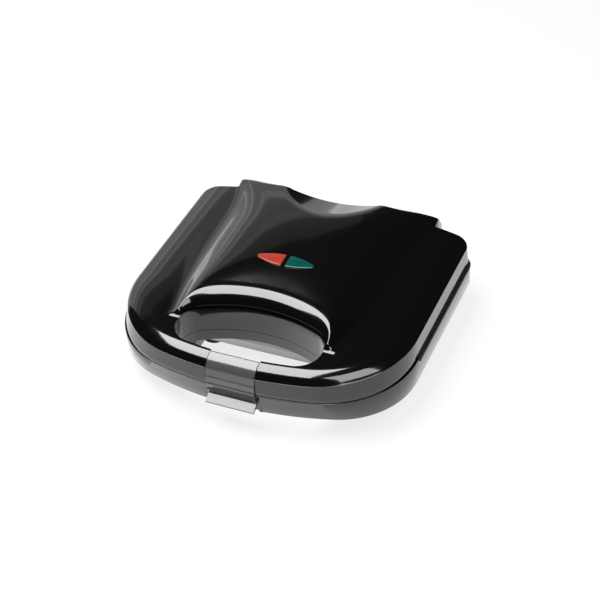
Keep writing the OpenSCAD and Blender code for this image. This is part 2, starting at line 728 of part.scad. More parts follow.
gland_z = band_z + wall + 6.6;
gland_r = 5;
module cord_gland() color([0.12, 0.12, 0.12]) translate([0, rear_y - wall, gland_z]) rotate([-90, 0, 0])
  rotate_extrude($fn = 48) polygon([[3.4, -1.6], [gland_r + 0.8, -1.6], [gland_r + 0.8, -0.1],
    [gland_r - 0.1, -0.1], [gland_r - 0.1, wall + 0.1], [gland_r + 2, wall + 0.1],
    [gland_r + 1, wall + 2.4], [3.4, wall + 2.4]]);

block_x = 80;
block_y = notch_y - 17;
block_l = 26;
block_w = 8.4;
block_h = 10.5;
block_z = belly_z + wall + 0.3;
block_pitch = 8.4;
wire_z = block_z + 4;
module terminal_block() color([0.9, 0.88, 0.82]) difference() {
  block([block_x - block_l / 2, block_y - block_w / 2, block_z],
    [block_x + block_l / 2, block_y + block_w / 2, block_z + block_h]);
  for (i = [-1:1]) translate([block_x + i * block_pitch, block_y, wire_z]) {
    cylinder(r = 1.8, h = block_h, $fn = 24);
    translate([0, block_w, 0]) rotate([90, 0, 0]) cylinder(r = 2, h = 2 * block_w, $fn = 24);
  }
}

module hinge_pin() color([0.72, 0.72, 0.74]) {
  half = knuckle_w / 2 + 0.4 + 3 + 0.4;
  rod(knuckle_x - half, knuckle_x + half, hinge_y, hinge_z, pin_r);
}
module hinge_pin_left() mirror([1, 0, 0]) hinge_pin();
module hinge_pin_right() hinge_pin();

// ---- Thermostat, fuse, lamps ----

thermo_x = 38;
upper_back = 2 * plate_mid - (lower_face - pocket_d - plate_t);
module thermostat() color([0.93, 0.9, 0.84]) translate([-thermo_x, clamp_y, upper_back]) {
  cylinder(r = 8.4, h = 3, $fn = 40);
  translate([0, 0, 3 - eps]) cylinder(r = 6.4, h = 7, $fn = 40);
  for (s = [-1, 1]) translate([s * 3.4 - 0.4, -3, 9.9]) cube([0.8, 6, 6]);
}
module thermal_fuse() color([0.75, 0.7, 0.6]) {
  rod(thermo_x - 7, thermo_x + 7, clamp_y, upper_back + 2.2, 2.2, 32);
  for (s = [-1, 1]) rod(thermo_x + s * 9.5 - 2.6, thermo_x + s * 9.5 + 2.6, clamp_y, upper_back + 2.2, 0.6, 16);
}

// The plan of a lens: two arcs that meet in a blunt tip
lens_bow = (lens_l * lens_l) / (2 * (lens_w / 2 - 1.4));
function lens_half(x) = lens_w / 2 - x * x / (2 * lens_bow);
function lens_ring(g) =
  let (n = 8, x0 = lens_gap / 2, tip = 1.4,
    side = [for (i = [0:n]) let (x = lens_l * i / n - (i == n ? tip : 0))
      [x0 + x + (i > 0 ? g : 0), lens_half(x) + g]])
  concat(
    [[x0 - g, -lens_w / 2 - g]],
    [for (p = side) [p[0], -p[1]]],
    [[x0 + lens_l + g, 0]],
    [for (i = [n:-1:0]) side[i]],
    [[x0 - g, lens_w / 2 + g]]);

module lens_solid(g, z0, z1) {
  translate([0, lamp_y, z0]) linear_extrude(z1 - z0) polygon(lens_ring(g));
}
flange_z = top_z - wall - 1;
module lens() {
  intersection() {
    union() {
      lens_solid(0, flange_z, top_z + 2);
      lens_solid(1, flange_z - 1.4, flange_z);
    }
    crown(-0.5);
  }
}
module red_lens() color([0.75, 0.25, 0.16]) mirror([1, 0, 0]) lens();
module green_lens() color([0.02, 0.4, 0.33]) lens();

lamp_z = top_z - wall - 6.4;
module lamp() {
  x0 = lens_gap / 2 + 2;
  rod(x0, x0 + 12, lamp_y, lamp_z, 2.6, 32);
  for (s = [-1, 1]) rod(x0 + 12 - eps, x0 + 17, lamp_y + s * 1.2, lamp_z, 0.35, 12);
}
module red_lamp() color([0.95, 0.6, 0.4]) mirror([1, 0, 0]) lamp();
module green_lamp() color([0.6, 0.9, 0.75]) lamp();

holder_t = 2;
holder_x = 30;
holder_z = lamp_z - 2.6 - holder_t - 0.1;
module lamp_holder() color([0.85, 0.84, 0.8]) difference() {
  union() {
    block([-holder_x - 5, lamp_y - 5, holder_z], [holder_x + 5, lamp_y + 5, holder_z + holder_t]);
    both_sides() for (x = [lens_gap / 2 + 3, lens_gap / 2 + 11]) for (y = [lamp_y + 2.8, lamp_y - 4.3])
      block([x, y, holder_z], [x + 2.4, y + 1.5, lamp_z + 1.5]);
  }
  for (x = [-1, 1]) translate([x * holder_x, lamp_y, holder_z - 1])
    cylinder(r = screw_r + 0.2, h = 5, $fn = 32);
}
module lamp_holder_screws() color([0.75, 0.75, 0.76])
  for (x = [-1, 1]) screw(x * holder_x, lamp_y, holder_z, 8);

// ---- Clip ----

// The outside of the clip, from the rear of the bar over the front and down to the tab
clip_top = [for (i = [roll_n - 1:-1:0]) let (a = 90 * i / roll_n)
  [front_y + roll_w * (1 - cos(a)), edge_z + roll_h * sin(a)]];
tab_z = band_z + tab_up;
tab_top = tab_z + 3.4;
grip_top = edge_z - 2.2;
grip_z = [for (i = [0:grip_n]) grip_top - i * (grip_top - tab_top) / grip_n];
grip_step = 0.6;
clip_outer = concat([[open_y0 - 1, edge_z + roll_h]], clip_top,
  [for (i = [0:grip_n - 1]) each [[clip_face(grip_z[i]), grip_z[i]],
    [clip_face(grip_z[i]) - grip_step, grip_z[i] - grip_step]]],
  [[clip_face(tab_top), tab_top], [front_y - tab_out, tab_z]]);
clip_inner = concat([[front_y - tab_out + 0.6, tab_z - 1.8], [clip_face(tab_top) + 0.8, tab_top - 2.6],
  [clip_face(tab_top) + clip_t, tab_top - 0.6], [clip_face(part_z) + clip_t, part_z]],
  [for (i = [0:roll_n - 1]) let (a = 90 * i / roll_n)
    [front_y + clip_t + (roll_w - clip_t) * (1 - cos(a)), edge_z + (roll_h - clip_t) * sin(a)]],
  [[open_y0 - 1, edge_z + roll_h - clip_t]]);
hook_end = wall_face(hook_z) + wall - 0.3;

module clip() color([0.16, 0.16, 0.17]) difference() {
  union() {
    bar(-clip_w / 2, clip_w / 2, concat(clip_outer, clip_inner));
    bar(-hook_w / 2, hook_w / 2, [[clip_face(hook_z) + 1, hook_z - 0.2], [hook_end, hook_z + 0.8],
      [hook_end, hook_z + hook_h - 0.2], [clip_face(hook_z) + 1, hook_z + hook_h - 0.2]]);
    both_sides() {
      rod(clip_w / 2 - 3.6, clip_w / 2 - 0.6, clip_y, clip_z, ear_r);
      bar(clip_w / 2 - 3.6, clip_w / 2 - 0.6, [[clip_y - ear_r, clip_z], [clip_y + ear_r, clip_z],
        [clip_y + 2, edge_z + roll_h - clip_t + 0.3], [front_y + 2.6, edge_z + roll_h - clip_t - 1.4],
        [front_y + 1.2, edge_z + 3]]);
    }
  }
  rod(-30, 30, clip_y, clip_z, clip_pin_r + pin_fit, 32);
}
module clip_pin() color([0.72, 0.72, 0.74]) rod(-clip_pin_half, clip_pin_half, clip_y, clip_z, clip_pin_r, 32);

// The spring winds round the clip pin; its legs rest in the bar and under the clip
spring_wire = 0.4;
spring_r = clip_pin_r + 0.15 + spring_wire;
spring_n = 7;
module clip_spring() color([0.7, 0.7, 0.7]) {
  half = spring_n * spring_wire;
  translate([-half, clip_y, clip_z]) rotate([0, 90, 0]) rotate_extrude($fn = 32)
    polygon(concat([[spring_r - spring_wire, 0]],
      [for (i = [0:spring_n - 1]) each [[spring_r + 0.1, 2 * i * spring_wire],
        [spring_r + spring_wire, (2 * i + 1) * spring_wire]]],
      [[spring_r + 0.1, 2 * half], [spring_r - spring_wire, 2 * half]]));
  translate([-half + spring_wire, clip_y + spring_r, clip_z - 5]) cylinder(r = spring_wire, h = 5, $fn = 16);
  translate([half - spring_wire, clip_y + spring_r, clip_z]) cylinder(r = spring_wire, h = 3.6, $fn = 16);
}

base_housing();
lower_plate();
lower_element();
lower_clamp();
lower_clamp_screw();
lower_heat_shield();
lower_plate_screws();
base_handle_cover();
base_cover_screws();
terminal_block();
cord_gland();
foot_front_left();
foot_front_right();
foot_rear_left();
foot_rear_right();
hinge_pin_left();
hinge_pin_right();
lid_housing();
upper_plate();
upper_element();
upper_clamp();
upper_clamp_screw();
upper_heat_shield();
upper_plate_screws();
lid_handle_cover();
lid_cover_screws();
thermostat();
thermal_fuse();
red_lens();
green_lens();
red_lamp();
green_lamp();
lamp_holder();
lamp_holder_screws();
clip_pin();
clip_spring();
clip();
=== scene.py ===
# %% [markdown]
# # A sandwich toaster, dressed over its CAD frame
#
# The CAD model already has every piece at its place. Its moulded housings are
# made of flat facets, so the pieces that show most are made again here with
# smooth faces: the lid, the hinge housings, the base, the clip and the lenses.
# The other CAD nodes keep their shape and get a better finish.

# %%
import bpy
import json
import math
import numpy as np
from mathutils import Matrix, Vector


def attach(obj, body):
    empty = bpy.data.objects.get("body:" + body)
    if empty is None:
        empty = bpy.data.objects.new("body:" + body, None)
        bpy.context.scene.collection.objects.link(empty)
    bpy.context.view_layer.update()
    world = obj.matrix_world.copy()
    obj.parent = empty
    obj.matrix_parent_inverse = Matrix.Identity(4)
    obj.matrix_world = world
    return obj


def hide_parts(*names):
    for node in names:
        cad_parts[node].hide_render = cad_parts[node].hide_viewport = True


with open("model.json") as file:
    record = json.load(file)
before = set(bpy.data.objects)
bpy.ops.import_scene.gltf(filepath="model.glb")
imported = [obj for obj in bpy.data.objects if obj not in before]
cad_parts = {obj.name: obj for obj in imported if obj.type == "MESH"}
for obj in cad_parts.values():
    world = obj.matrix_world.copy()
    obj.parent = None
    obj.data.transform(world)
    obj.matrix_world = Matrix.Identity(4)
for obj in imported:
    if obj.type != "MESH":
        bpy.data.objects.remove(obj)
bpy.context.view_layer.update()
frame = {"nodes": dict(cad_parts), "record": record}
MM = 0.001

# %% [markdown]
# ## The sizes of the body
#
# All sizes are in millimetres and follow the CAD: +Z is up, and the handle is
# at the front, towards -Y. The plan of the body has a broad front curve, two
# round front corners and straight sides. Arcs that meet share a tangent, so
# the centre of each small arc follows from the big one beside it.

# %%
HALF_W, FRONT_Y, REAR_Y = 110.0, -101.0, 90.0
FRONT_R, CORNER_R, REAR_R = 271.0, 72.0, 10.0
BAND_Z, BASE_TOP, LID_BOTTOM, LID_RIM = 18.2, 36.5, 36.9, 37.9
EDGE_Z, ROLL_W, ROLL_H = 46.7, 13.0, 10.8
TOP_Z, CROWN_R, CROWN_Y = 73.7, 600.0, 20.0
FLANK_Z = 57.5
HINGE_Y, HINGE_Z, SKIN_R = 97.0, 45.7, 9.6
BUMP_IN, BUMP_OUT, KNUCKLE_X = 38.0, 82.0, 60.0
OPEN_R, OPEN_CY, END_R = 100.0, -141.0, 18.0
FRONT_CY = FRONT_Y + FRONT_R
IN_R = FRONT_R - 12.0
WALL = 2.4
FAR = 140.0


def arc_join(r_big, r_small, cx, cy):
    """Centre height of a corner arc that lies inside the broad front arc."""
    return cy - math.sqrt((r_big - r_small) ** 2 - cx * cx)


def opening_end(g, r_front):
    """Centre of the round end of the opening when its rear arc grows by g."""
    ea, eb = OPEN_R + g - END_R, r_front - END_R
    dist = FRONT_CY - OPEN_CY
    y = OPEN_CY + (ea * ea - eb * eb + dist * dist) / (2 * dist)
    return np.sqrt(np.maximum(ea * ea - (y - OPEN_CY) ** 2, 0.01)), y


END_X, END_Y = (float(v) for v in opening_end(0.0, IN_R))
print("round end of the opening at", round(END_X, 2), round(END_Y, 2))

# %% [markdown]
# ## Plans as rings of points
#
# A ring is sampled at fixed fractions of each of its stretches, so two rings
# with the same number of points can be joined by straight columns. The right
# half is made and mirrored, from the front middle round to the rear middle.

# %%
def arc_points(cx, cy, r, a0, a1, n):
    a = np.radians(np.linspace(a0, a1, n + 1)[:-1])
    return np.stack([cx + r * np.cos(a), cy + r * np.sin(a)], 1)


def line_points(p, q, n):
    t = np.linspace(0, 1, n + 1)[:-1, None]
    return np.array(p) * (1 - t) + np.array(q) * t


def whole(half, rear_point):
    """Closes a right half, front middle to rear middle, with its mirror image."""
    left = half[1:][::-1] * [-1, 1]
    return np.concatenate([half, [rear_point], left])


N_FRONT, N_CORNER, N_SIDE, N_REARC, N_REAR = 44, 80, 56, 14, 56
HALF_N = N_FRONT + N_CORNER + N_SIDE + N_REARC + N_REAR


def body_ring(grow=0.0, half_w=HALF_W, front=FRONT_Y, front_r=FRONT_R,
              corner_r=CORNER_R, rear_in=0.0):
    """The plan of the body, grown outwards; the rear line only moves by rear_in."""
    cy, cx = front + front_r, half_w - corner_r
    ky = arc_join(front_r, corner_r, cx, cy)
    a = math.degrees(math.atan2(ky - cy, cx))
    rr = max(REAR_R + grow, 1.0)
    side, back = half_w + grow - rr, REAR_Y - rear_in - rr
    half = np.concatenate([
        arc_points(0, cy, front_r + grow, -90, a, N_FRONT),
        arc_points(cx, ky, corner_r + grow, a, 0, N_CORNER),
        line_points((half_w + grow, ky), (half_w + grow, back), N_SIDE),
        arc_points(side, back, rr, 0, 90, N_REARC),
        line_points((side, back + rr), (0, back + rr), N_REAR)])
    return whole(half, (0, back + rr))


def opening_ring(grow=0.0):
    """The handle opening, sampled to face the points of the body's ring."""
    front_a = math.degrees(math.atan2(END_Y - FRONT_CY, END_X))
    rear_a = math.degrees(math.atan2(END_Y - OPEN_CY, END_X))
    n_rear = N_REARC + N_REAR + N_SIDE // 2
    half = np.concatenate([
        arc_points(0, FRONT_CY, IN_R + grow, -90, front_a, N_FRONT),
        arc_points(END_X, END_Y, END_R + grow, front_a, rear_a, HALF_N - N_FRONT - n_rear),
        arc_points(0, OPEN_CY, OPEN_R + grow, rear_a, 90, n_rear)])
    return whole(half, (0, OPEN_CY + OPEN_R + grow))


RING_N = len(body_ring())
print("points in a ring", RING_N, len(opening_ring()))

# %% [markdown]
# ## The top of the lid as one height field
#
# On the real lid the forms run into each other with soft creases: a rolled
# shoulder, a raised centre with sloping flanks, a rim that rolls down into the
# handle opening and a scoop at the rear. Each form is a height over the plan,
# and a soft maximum or minimum joins two of them with a rounded crease.

# %%
def soft_max(a, b, r):
    """The larger of two heights, rounded off where they are less than r apart."""
    h = np.maximum(r - np.abs(a - b), 0.0) / r
    return np.maximum(a, b) + h * h * r * 0.25


def soft_min(a, b, r):
    return -soft_max(-a, -b, r)


def smooth(t):
    t = np.clip(t, 0, 1)
    return t * t * (3 - 2 * t)


def inward(x, y):
    """Distance in from the front and the sides of the lid."""
    x = np.abs(x)
    cx = HALF_W - CORNER_R
    ky = arc_join(FRONT_R, CORNER_R, cx, FRONT_CY)
    a0 = math.atan2(ky - FRONT_CY, cx)
    a = np.arctan2(y - ky, x - cx)
    corner = CORNER_R - np.hypot(x - cx, y - ky)
    front = FRONT_R - np.hypot(x, y - FRONT_CY)
    in_corner = (a > a0) & (a < 0) & (x > cx)
    below = np.arctan2(y - FRONT_CY, x) <= a0
    beside = np.where(y >= ky, HALF_W - x, corner)
    beside = np.where(below & (y < ky), front, beside)
    return np.where(in_corner, corner, beside)

# %% [markdown]
# The shoulder is a plain quarter roll along the front. Along the sides it turns
# into a small lip with a long gentle slope inside it, as on the real lid, where
# the front bar looks rounder than the sides.

# %%
LIP_H, LIP_W = 3.6, 2.0
SLOPE_H, SLOPE_REACH = 8.2, 14.0
SIDE_Y, SIDE_BLEND = -95.0, 75.0


def quarter(d, reach):
    """A quarter ellipse: 0 at the edge and 1 from the given reach inwards."""
    return np.sqrt(np.maximum(1 - (1 - np.minimum(d, reach) / reach) ** 2, 0))


def shell(x, y):
    """The rolled shoulder, wider along the sides, and the nearly flat land inside it."""
    d = np.maximum(inward(x, y), 0)
    slope = LIP_H * quarter(d, LIP_W) + SLOPE_H * (1 - np.exp(-d / SLOPE_REACH))
    side = smooth((y - SIDE_Y) / SIDE_BLEND)
    return EDGE_Z + ROLL_H * quarter(d, ROLL_W) * (1 - side) + slope * side


print("shoulder at the front", shell(np.array([0.0]), np.array([FRONT_Y + ROLL_W])))

# %% [markdown]
# The raised centre has flanks whose foot and width change from front to rear.
# The tables give them at a few depths, and one more table gives the flank's
# S-shaped section. All of them are smoothed, because a gloss black surface
# shows every kink as a streak. The crown over them is part of a big ball.

# %%
FLANK_Y = [-60.0, -37.0, -15.0, 10.0, 60.0, 81.0, 97.0]
FLANK_FOOT = [62.0, 67.5, 71.0, 73.0, 74.0, 78.0, 85.0]
FLANK_WIDE = [13.0, 19.0, 25.0, 28.0, 28.0, 26.0, 24.0]
FLANK_T = np.array([-0.8, -0.2, 0.0, 0.1, 0.25, 0.5, 0.75, 1.0, 1.5, 2.4])
FLANK_RISE = np.array([-7.0, -1.4, 0.0, 1.3, 3.8, 7.8, 11.1, 13.5, 16.6, 20.5])
DOME_FRONT, FRONT_RAMP, RAMP_SOFT = FRONT_Y + 37, 6.0, 0.3
CROWN_SOFT = 4.0


def softened(values, width):
    """A table of numbers smoothed three times; its ends stay as they are."""
    values, half = values.copy(), width // 2
    for _ in range(3):
        values[half:-half] = np.convolve(values, np.full(width, 1 / width), "valid")
    return values


FLANK_FINE, Y_FINE = np.linspace(-0.8, 2.4, 401), np.linspace(-60, 97, 401)
flank_table = softened(np.interp(FLANK_FINE, FLANK_T, FLANK_RISE), 25)
foot_table = softened(np.interp(Y_FINE, FLANK_Y, FLANK_FOOT), 41)
wide_table = softened(np.interp(Y_FINE, FLANK_Y, FLANK_WIDE), 41)


def raised(x, y):
    """The raised centre: S-shaped flanks, narrow at the front and wide at the rear,
    under a crown that is part of a ball."""
    foot, wide = np.interp(y, Y_FINE, foot_table), np.interp(y, Y_FINE, wide_table)
    t = soft_min((foot - np.abs(x)) / wide, (y - DOME_FRONT) / FRONT_RAMP, RAMP_SOFT)
    z = FLANK_Z + np.interp(t, FLANK_FINE, flank_table)
    crown = TOP_Z - CROWN_R + np.sqrt(CROWN_R ** 2 - x * x - (y - CROWN_Y) ** 2)
    return soft_min(z, crown, CROWN_SOFT)


print("foot and width of the flank at the lenses",
      np.interp(0.0, Y_FINE, foot_table), np.interp(0.0, Y_FINE, wide_table))

# %% [markdown]
# At the handle the dome rolls down into the opening. Its height there depends
# on one distance only: how far the rear outline of the opening has to grow to
# reach the point, which is found by halving. The scoop at the rear is a
# cylinder that leans back, so its edge on the crown is a shallow bow.

# %%
RIM_ROLL, RIM_TOP, RIM_SLOPE = 14.5, 69.0, 0.2
RIM_NEAR, RIM_FAR, NO_RIM = -8.0, 46.0, 999.0
SCOOP_R, SCOOP_DEEP, SCOOP_HALF, SCOOP_L = 130.0, 12.0, 40.0, 30.0
FLANK_SOFT, RIM_SOFT, SCOOP_SOFT = 3.0, 1.6, 1.2


def rim(x, y):
    """The rolled rim, by the growth of the opening's outline that reaches the point."""
    x = np.abs(x)
    r_front = IN_R - 0.6
    lo, hi = np.full(x.shape, RIM_NEAR), np.full(x.shape, RIM_FAR)
    for _ in range(26):
        g = (lo + hi) / 2
        cx, cy = opening_end(g, r_front)
        inside = (np.hypot(x, y - FRONT_CY) < r_front) & (np.hypot(x, y - OPEN_CY) < OPEN_R + g)
        af, ar = np.arctan2(cy - FRONT_CY, cx), np.arctan2(cy - OPEN_CY, cx)
        a = np.arctan2(y - cy, x - cx)
        corner = (a > af) & (a < ar)
        inside &= ~corner | (np.hypot(x - cx, y - cy) < END_R)
        lo, hi = np.where(inside, lo, g), np.where(inside, g, hi)
    g = (lo + hi) / 2
    t = np.clip(g / RIM_ROLL, 0, 1)
    roll = RIM_TOP - RIM_ROLL + RIM_ROLL * np.sqrt(1 - (1 - t) ** 2)
    z = roll + RIM_SLOPE * np.maximum(g - RIM_ROLL, 0) + np.minimum(g, 0) * 3
    return np.where(g > RIM_FAR - 0.5, NO_RIM, z)


SCOOP_A = math.atan2(SCOOP_DEEP - (CROWN_R - math.sqrt(CROWN_R ** 2 - SCOOP_HALF ** 2)), SCOOP_L)


def scoop(x, y):
    """The floor of the scoop, which leans back and down to the rear edge."""
    h = SCOOP_R - np.sqrt(np.maximum(SCOOP_R ** 2 - x * x, 1))
    return TOP_Z - SCOOP_DEEP + (h + (REAR_Y - y) * math.sin(SCOOP_A)) / math.cos(SCOOP_A)


def top(x, y):
    """The height of the lid's outside."""
    z = soft_max(shell(x, y), raised(x, y), FLANK_SOFT)
    z = soft_min(z, rim(x, y), RIM_SOFT)
    return soft_min(z, scoop(x, y), SCOOP_SOFT)


probe = np.array([0.0]), np.array([20.0])
print("crown at", top(*probe), "land at", top(np.array([90.0]), np.array([20.0])))

# %% [markdown]
# ## A skin through a stack of rings
#
# Blender's grid primitive gives the quads. Its points are then put on the
# rings, and the seam where the last column meets the first is merged.

# %%
def deselect():
    if bpy.context.object and bpy.context.object.mode != "OBJECT":
        bpy.ops.object.mode_set(mode="OBJECT")
    bpy.ops.object.select_all(action="DESELECT")


def active(obj):
    deselect()
    obj.select_set(True)
    bpy.context.view_layer.objects.active = obj
    return obj


def face_out():
    """Turns the selected faces outwards and leaves edit mode."""
    bpy.ops.mesh.normals_make_consistent(inside=False)
    bpy.ops.object.mode_set(mode="OBJECT")


def clean(obj):
    """Merges doubled points and turns every face outwards."""
    active(obj)
    bpy.ops.object.mode_set(mode="EDIT")
    bpy.ops.mesh.select_all(action="SELECT")
    bpy.ops.mesh.remove_doubles(threshold=0.000002)
    face_out()


def skin(name, rows, close_columns=True, close_rows=False, caps=False):
    """A mesh through rows of points in millimetres; each row has the same count."""
    points = np.array(rows, float)
    if close_columns:
        points = np.concatenate([points, points[:, :1]], 1)
    if close_rows:
        points = np.concatenate([points, points[:1]], 0)
    m, n = points.shape[:2]
    deselect()
    bpy.ops.mesh.primitive_grid_add(x_subdivisions=n - 1, y_subdivisions=m - 1, size=1)
    obj = bpy.context.object
    obj.name = obj.data.name = name
    obj.data.vertices.foreach_set("co", (points.reshape(-1, 3) * MM).ravel())
    clean(obj)
    if caps:
        bpy.ops.object.mode_set(mode="EDIT")
        bpy.ops.mesh.select_all(action="DESELECT")
        bpy.ops.mesh.select_non_manifold(extend=False)
        bpy.ops.mesh.edge_face_add()
        bpy.ops.mesh.select_all(action="SELECT")
        face_out()
    return obj


def level(ring, z):
    """A ring of plan points at one height, or at one height for each point."""
    z = np.broadcast_to(z, (len(ring),))
    return np.concatenate([ring, z[:, None]], 1)


def loft(name, rings):
    """A closed solid through level rings, from the lowest up."""
    return skin(name, [level(r, z) for r, z in rings], caps=True)


# %% [markdown]
# ## Cutting, joining and measuring
#
# Cuts and joins are boolean modifiers, applied one by one. The tools that cut
# are a box, a rod along X and a bar along X.

# %%
def use(obj, kind, **settings):
    """Adds a modifier, sets it and applies it."""
    active(obj)
    mod = obj.modifiers.new(kind.lower(), kind)
    for key, value in settings.items():
        setattr(mod, key, value)
    bpy.ops.object.modifier_apply(modifier=mod.name)
    return obj


def combine(obj, other, operation="DIFFERENCE"):
    """Cuts away, joins or keeps what another solid covers, and removes that solid."""
    use(obj, "BOOLEAN", operation=operation, solver="EXACT", object=other)
    bpy.data.objects.remove(other)
    return obj


def shade(obj, angle):
    """Smooth shading, with an edge wherever two faces turn by more than the angle."""
    active(obj)
    bpy.ops.object.shade_smooth_by_angle(angle=math.radians(angle))
    return obj


def box(x0, x1, y0, y1, z0, z1):
    """A box between two corners, as a tool for cutting."""
    deselect()
    bpy.ops.mesh.primitive_cube_add(size=1)
    obj = bpy.context.object
    low, high = Vector((x0, y0, z0)) * MM, Vector((x1, y1, z1)) * MM
    for v in obj.data.vertices:
        v.co = Vector([low[i] if v.co[i] < 0 else high[i] for i in range(3)])
    return obj


def rod(x0, x1, y, z, r, n=96):
    """A solid rod along X."""
    deselect()
    bpy.ops.mesh.primitive_cylinder_add(vertices=n, radius=r * MM, depth=(x1 - x0) * MM)
    obj = bpy.context.object
    turn = Matrix.Rotation(math.pi / 2, 4, "Y")
    obj.data.transform(Matrix.Translation(Vector(((x0 + x1) / 2, y, z)) * MM) @ turn)
    return obj


def prism_x(x0, x1, section):
    """A bar along X with a section given in Y and Z."""
    rows = [[(x, y, z) for y, z in section] for x in (x0, x1)]
    return skin("bar", rows, caps=True)


def both_ways(side, near, far):
    """The two ends of a stretch along X, on one side of the middle."""
    return sorted((side * near, side * far))


def size_of(obj):
    print(obj.name, "faces", len(obj.data.polygons), "triangles",
          sum(len(p.vertices) - 2 for p in obj.data.polygons))


# %% [markdown]
# ## The lid
#
# One closed skin: up the wall of the handle opening, over the top, down the
# outside and back under. Rows stand close together where the surface turns
# fast, near the opening and near the edge. The recess of the clip, the two
# windows of the lenses and the notches for the hinge are then cut out.

# %%
TOP_ROWS = 128
INNER_GAP, OUTER_GAP, GAP_GROWTH, WIDEST_GAP = 0.10, 0.16, 0.11, 1.25
SKIN_T = 3.0
inner, outer = opening_ring(), body_ring()
reach = np.linalg.norm(outer - inner, axis=1)
fractions = []
for length in reach:
    g = np.linspace(0, length, 1500)
    gaps = np.minimum(INNER_GAP + GAP_GROWTH * g, OUTER_GAP + GAP_GROWTH * (length - g))
    pace = 1 / np.minimum(gaps, WIDEST_GAP)
    steps = np.concatenate([[0], np.cumsum((pace[1:] + pace[:-1]) / 2)])
    fractions.append(np.interp(np.linspace(0, steps[-1], TOP_ROWS), steps, g / length))
fractions = np.array(fractions).T

print("first and last gap between rows", (fractions[1] * reach).min(), ((1 - fractions[-2]) * reach).max())

# %% [markdown]
# The rows of the top come first. Below the edge the wall leans out to the
# parting line with the base, turns in under it, and a rough inner surface
# leads back to the wall of the handle opening, which closes the skin.

# %%
top_rows = []
for share in fractions:
    p = inner * (1 - share[:, None]) + outer * share[:, None]
    top_rows.append(level(p, top(p[:, 0], p[:, 1])))
rim_line, edge_line = top_rows[0][:, 2], top_rows[-1][:, 2]

PART = dict(half_w=111.0, front=FRONT_Y - 1.1, front_r=FRONT_R, corner_r=CORNER_R - 7)
part_ring = body_ring(**PART)
under_ring = body_ring(-WALL, rear_in=WALL, **PART)
hole_wall = opening_ring(WALL)
wall_rows = []
for t in (0.25, 0.5, 0.75, 0.96):
    wall_rows.append(level(outer * (1 - t) + part_ring * t, edge_line * (1 - t) + LID_BOTTOM * t))
under = [level(part_ring * 0.9 + under_ring * 0.1, LID_BOTTOM), level(under_ring, LID_BOTTOM)]
room = []
for t in np.linspace(0.0, 1, 14):
    p = body_ring(-WALL - 0.4, rear_in=WALL) * (1 - t) + hole_wall * t
    room.append(level(p, np.maximum(top(p[:, 0], p[:, 1]) - SKIN_T, LID_BOTTOM + SKIN_T)))
hole_rows = [level(hole_wall, LID_BOTTOM), level(inner, LID_BOTTOM)]
for t in (0.3, 0.6, 0.85):
    hole_rows.append(level(inner, LID_BOTTOM * (1 - t) + rim_line * t))

lid = skin("lid_shell", top_rows + wall_rows + under + room + hole_rows, close_rows=True)
size_of(lid)

# %% [markdown]
# A lens has a straight inner end and two shallow arcs that meet in a blunt tip.
# Its window in the lid is cut with the same plan, a little larger. The clip
# gets a recess over the front bar, and the plates and hinges get theirs below.

# %%
LENS_L, LENS_W, LENS_GAP = 20.4, 12.0, 3.4
LENS_BLUNT, LENS_PLAY = 1.4, 0.12
CLIP_ROOM = 19.0
PLATE_FRONT = -29.4
HINGE_CUT_Z = HINGE_Z - 0.8


def lens_plan(grow, n=28):
    """The plan of the right lens, grown outwards; x runs along the lens."""
    bow = LENS_L ** 2 / (2 * (LENS_W / 2 - LENS_BLUNT))
    x = np.linspace(0, LENS_L - 0.6, n)
    half = LENS_W / 2 - x * x / (2 * bow)
    x0 = LENS_GAP / 2
    low = np.stack([x0 + x + grow * (x / LENS_L) - grow * (1 - x / LENS_L), -half - grow], 1)
    x1 = x0 + LENS_L + grow
    tip = np.array([[x1 - 0.2, -0.8], [x1, 0.0], [x1 - 0.2, 0.8]])
    return np.concatenate([low, tip, low[::-1] * [1, -1]])


def lens_cutter(side):
    plan = lens_plan(LENS_PLAY) * [side, 1]
    return loft("cutter", [(plan, TOP_Z - 18.7), (plan, TOP_Z + 6.3)])


for side in (-1, 1):
    combine(lid, lens_cutter(side))
    x0, x1 = both_ways(side, BUMP_IN - 1, BUMP_OUT + 1)
    combine(lid, box(x0, x1, REAR_Y - 9, FAR, 30, HINGE_CUT_Z))
combine(lid, box(-CLIP_ROOM, CLIP_ROOM, -FAR, FRONT_Y + 9.6, 20, 90))
combine(lid, box(-CLIP_ROOM, CLIP_ROOM, FRONT_Y + 8, FRONT_Y + 15, EDGE_Z + 5, 90))
combine(lid, box(-FAR, FAR, PLATE_FRONT, FAR, 20, LID_RIM))
SHARP_TURN = 34
shade(lid, SHARP_TURN)
size_of(lid)

# %% [markdown]
# ## The hinge housings
#
# Behind the lid two housings carry the raised centre down over the hinge. Each
# point is found on a ray from the hinge axis, where the ray leaves the form.
# One housing is made, hollowed for the knuckle and bored for its pin, and its
# twin is a mirrored copy.

# %%
LEAN_Y = [84.0, 88.0, 91.0, 95.0, 97.4, 100.4, 103.2, 105.0, 105.7, 106.4]
LEAN_Z = [72.0, 69.2, 66.9, 64.0, 61.5, 57.6, 52.9, 49.2, 47.4, 40.0]
BRIDGE_Y, BRIDGE_Z, BRIDGE_SLOPE = 85.0, 57.5, 2.6 / 14.6
SUNK, BARREL_ANGLE, BARREL_MOST = 1.2, 1.3, 14


def housing_top(x, y):
    """The raised centre carried on to the rear, where it leans down."""
    z = soft_min(raised(x, y), scoop(x, y), SCOOP_SOFT)
    return soft_min(z, np.interp(y, LEAN_Y, LEAN_Z, left=90.0), 1.6)


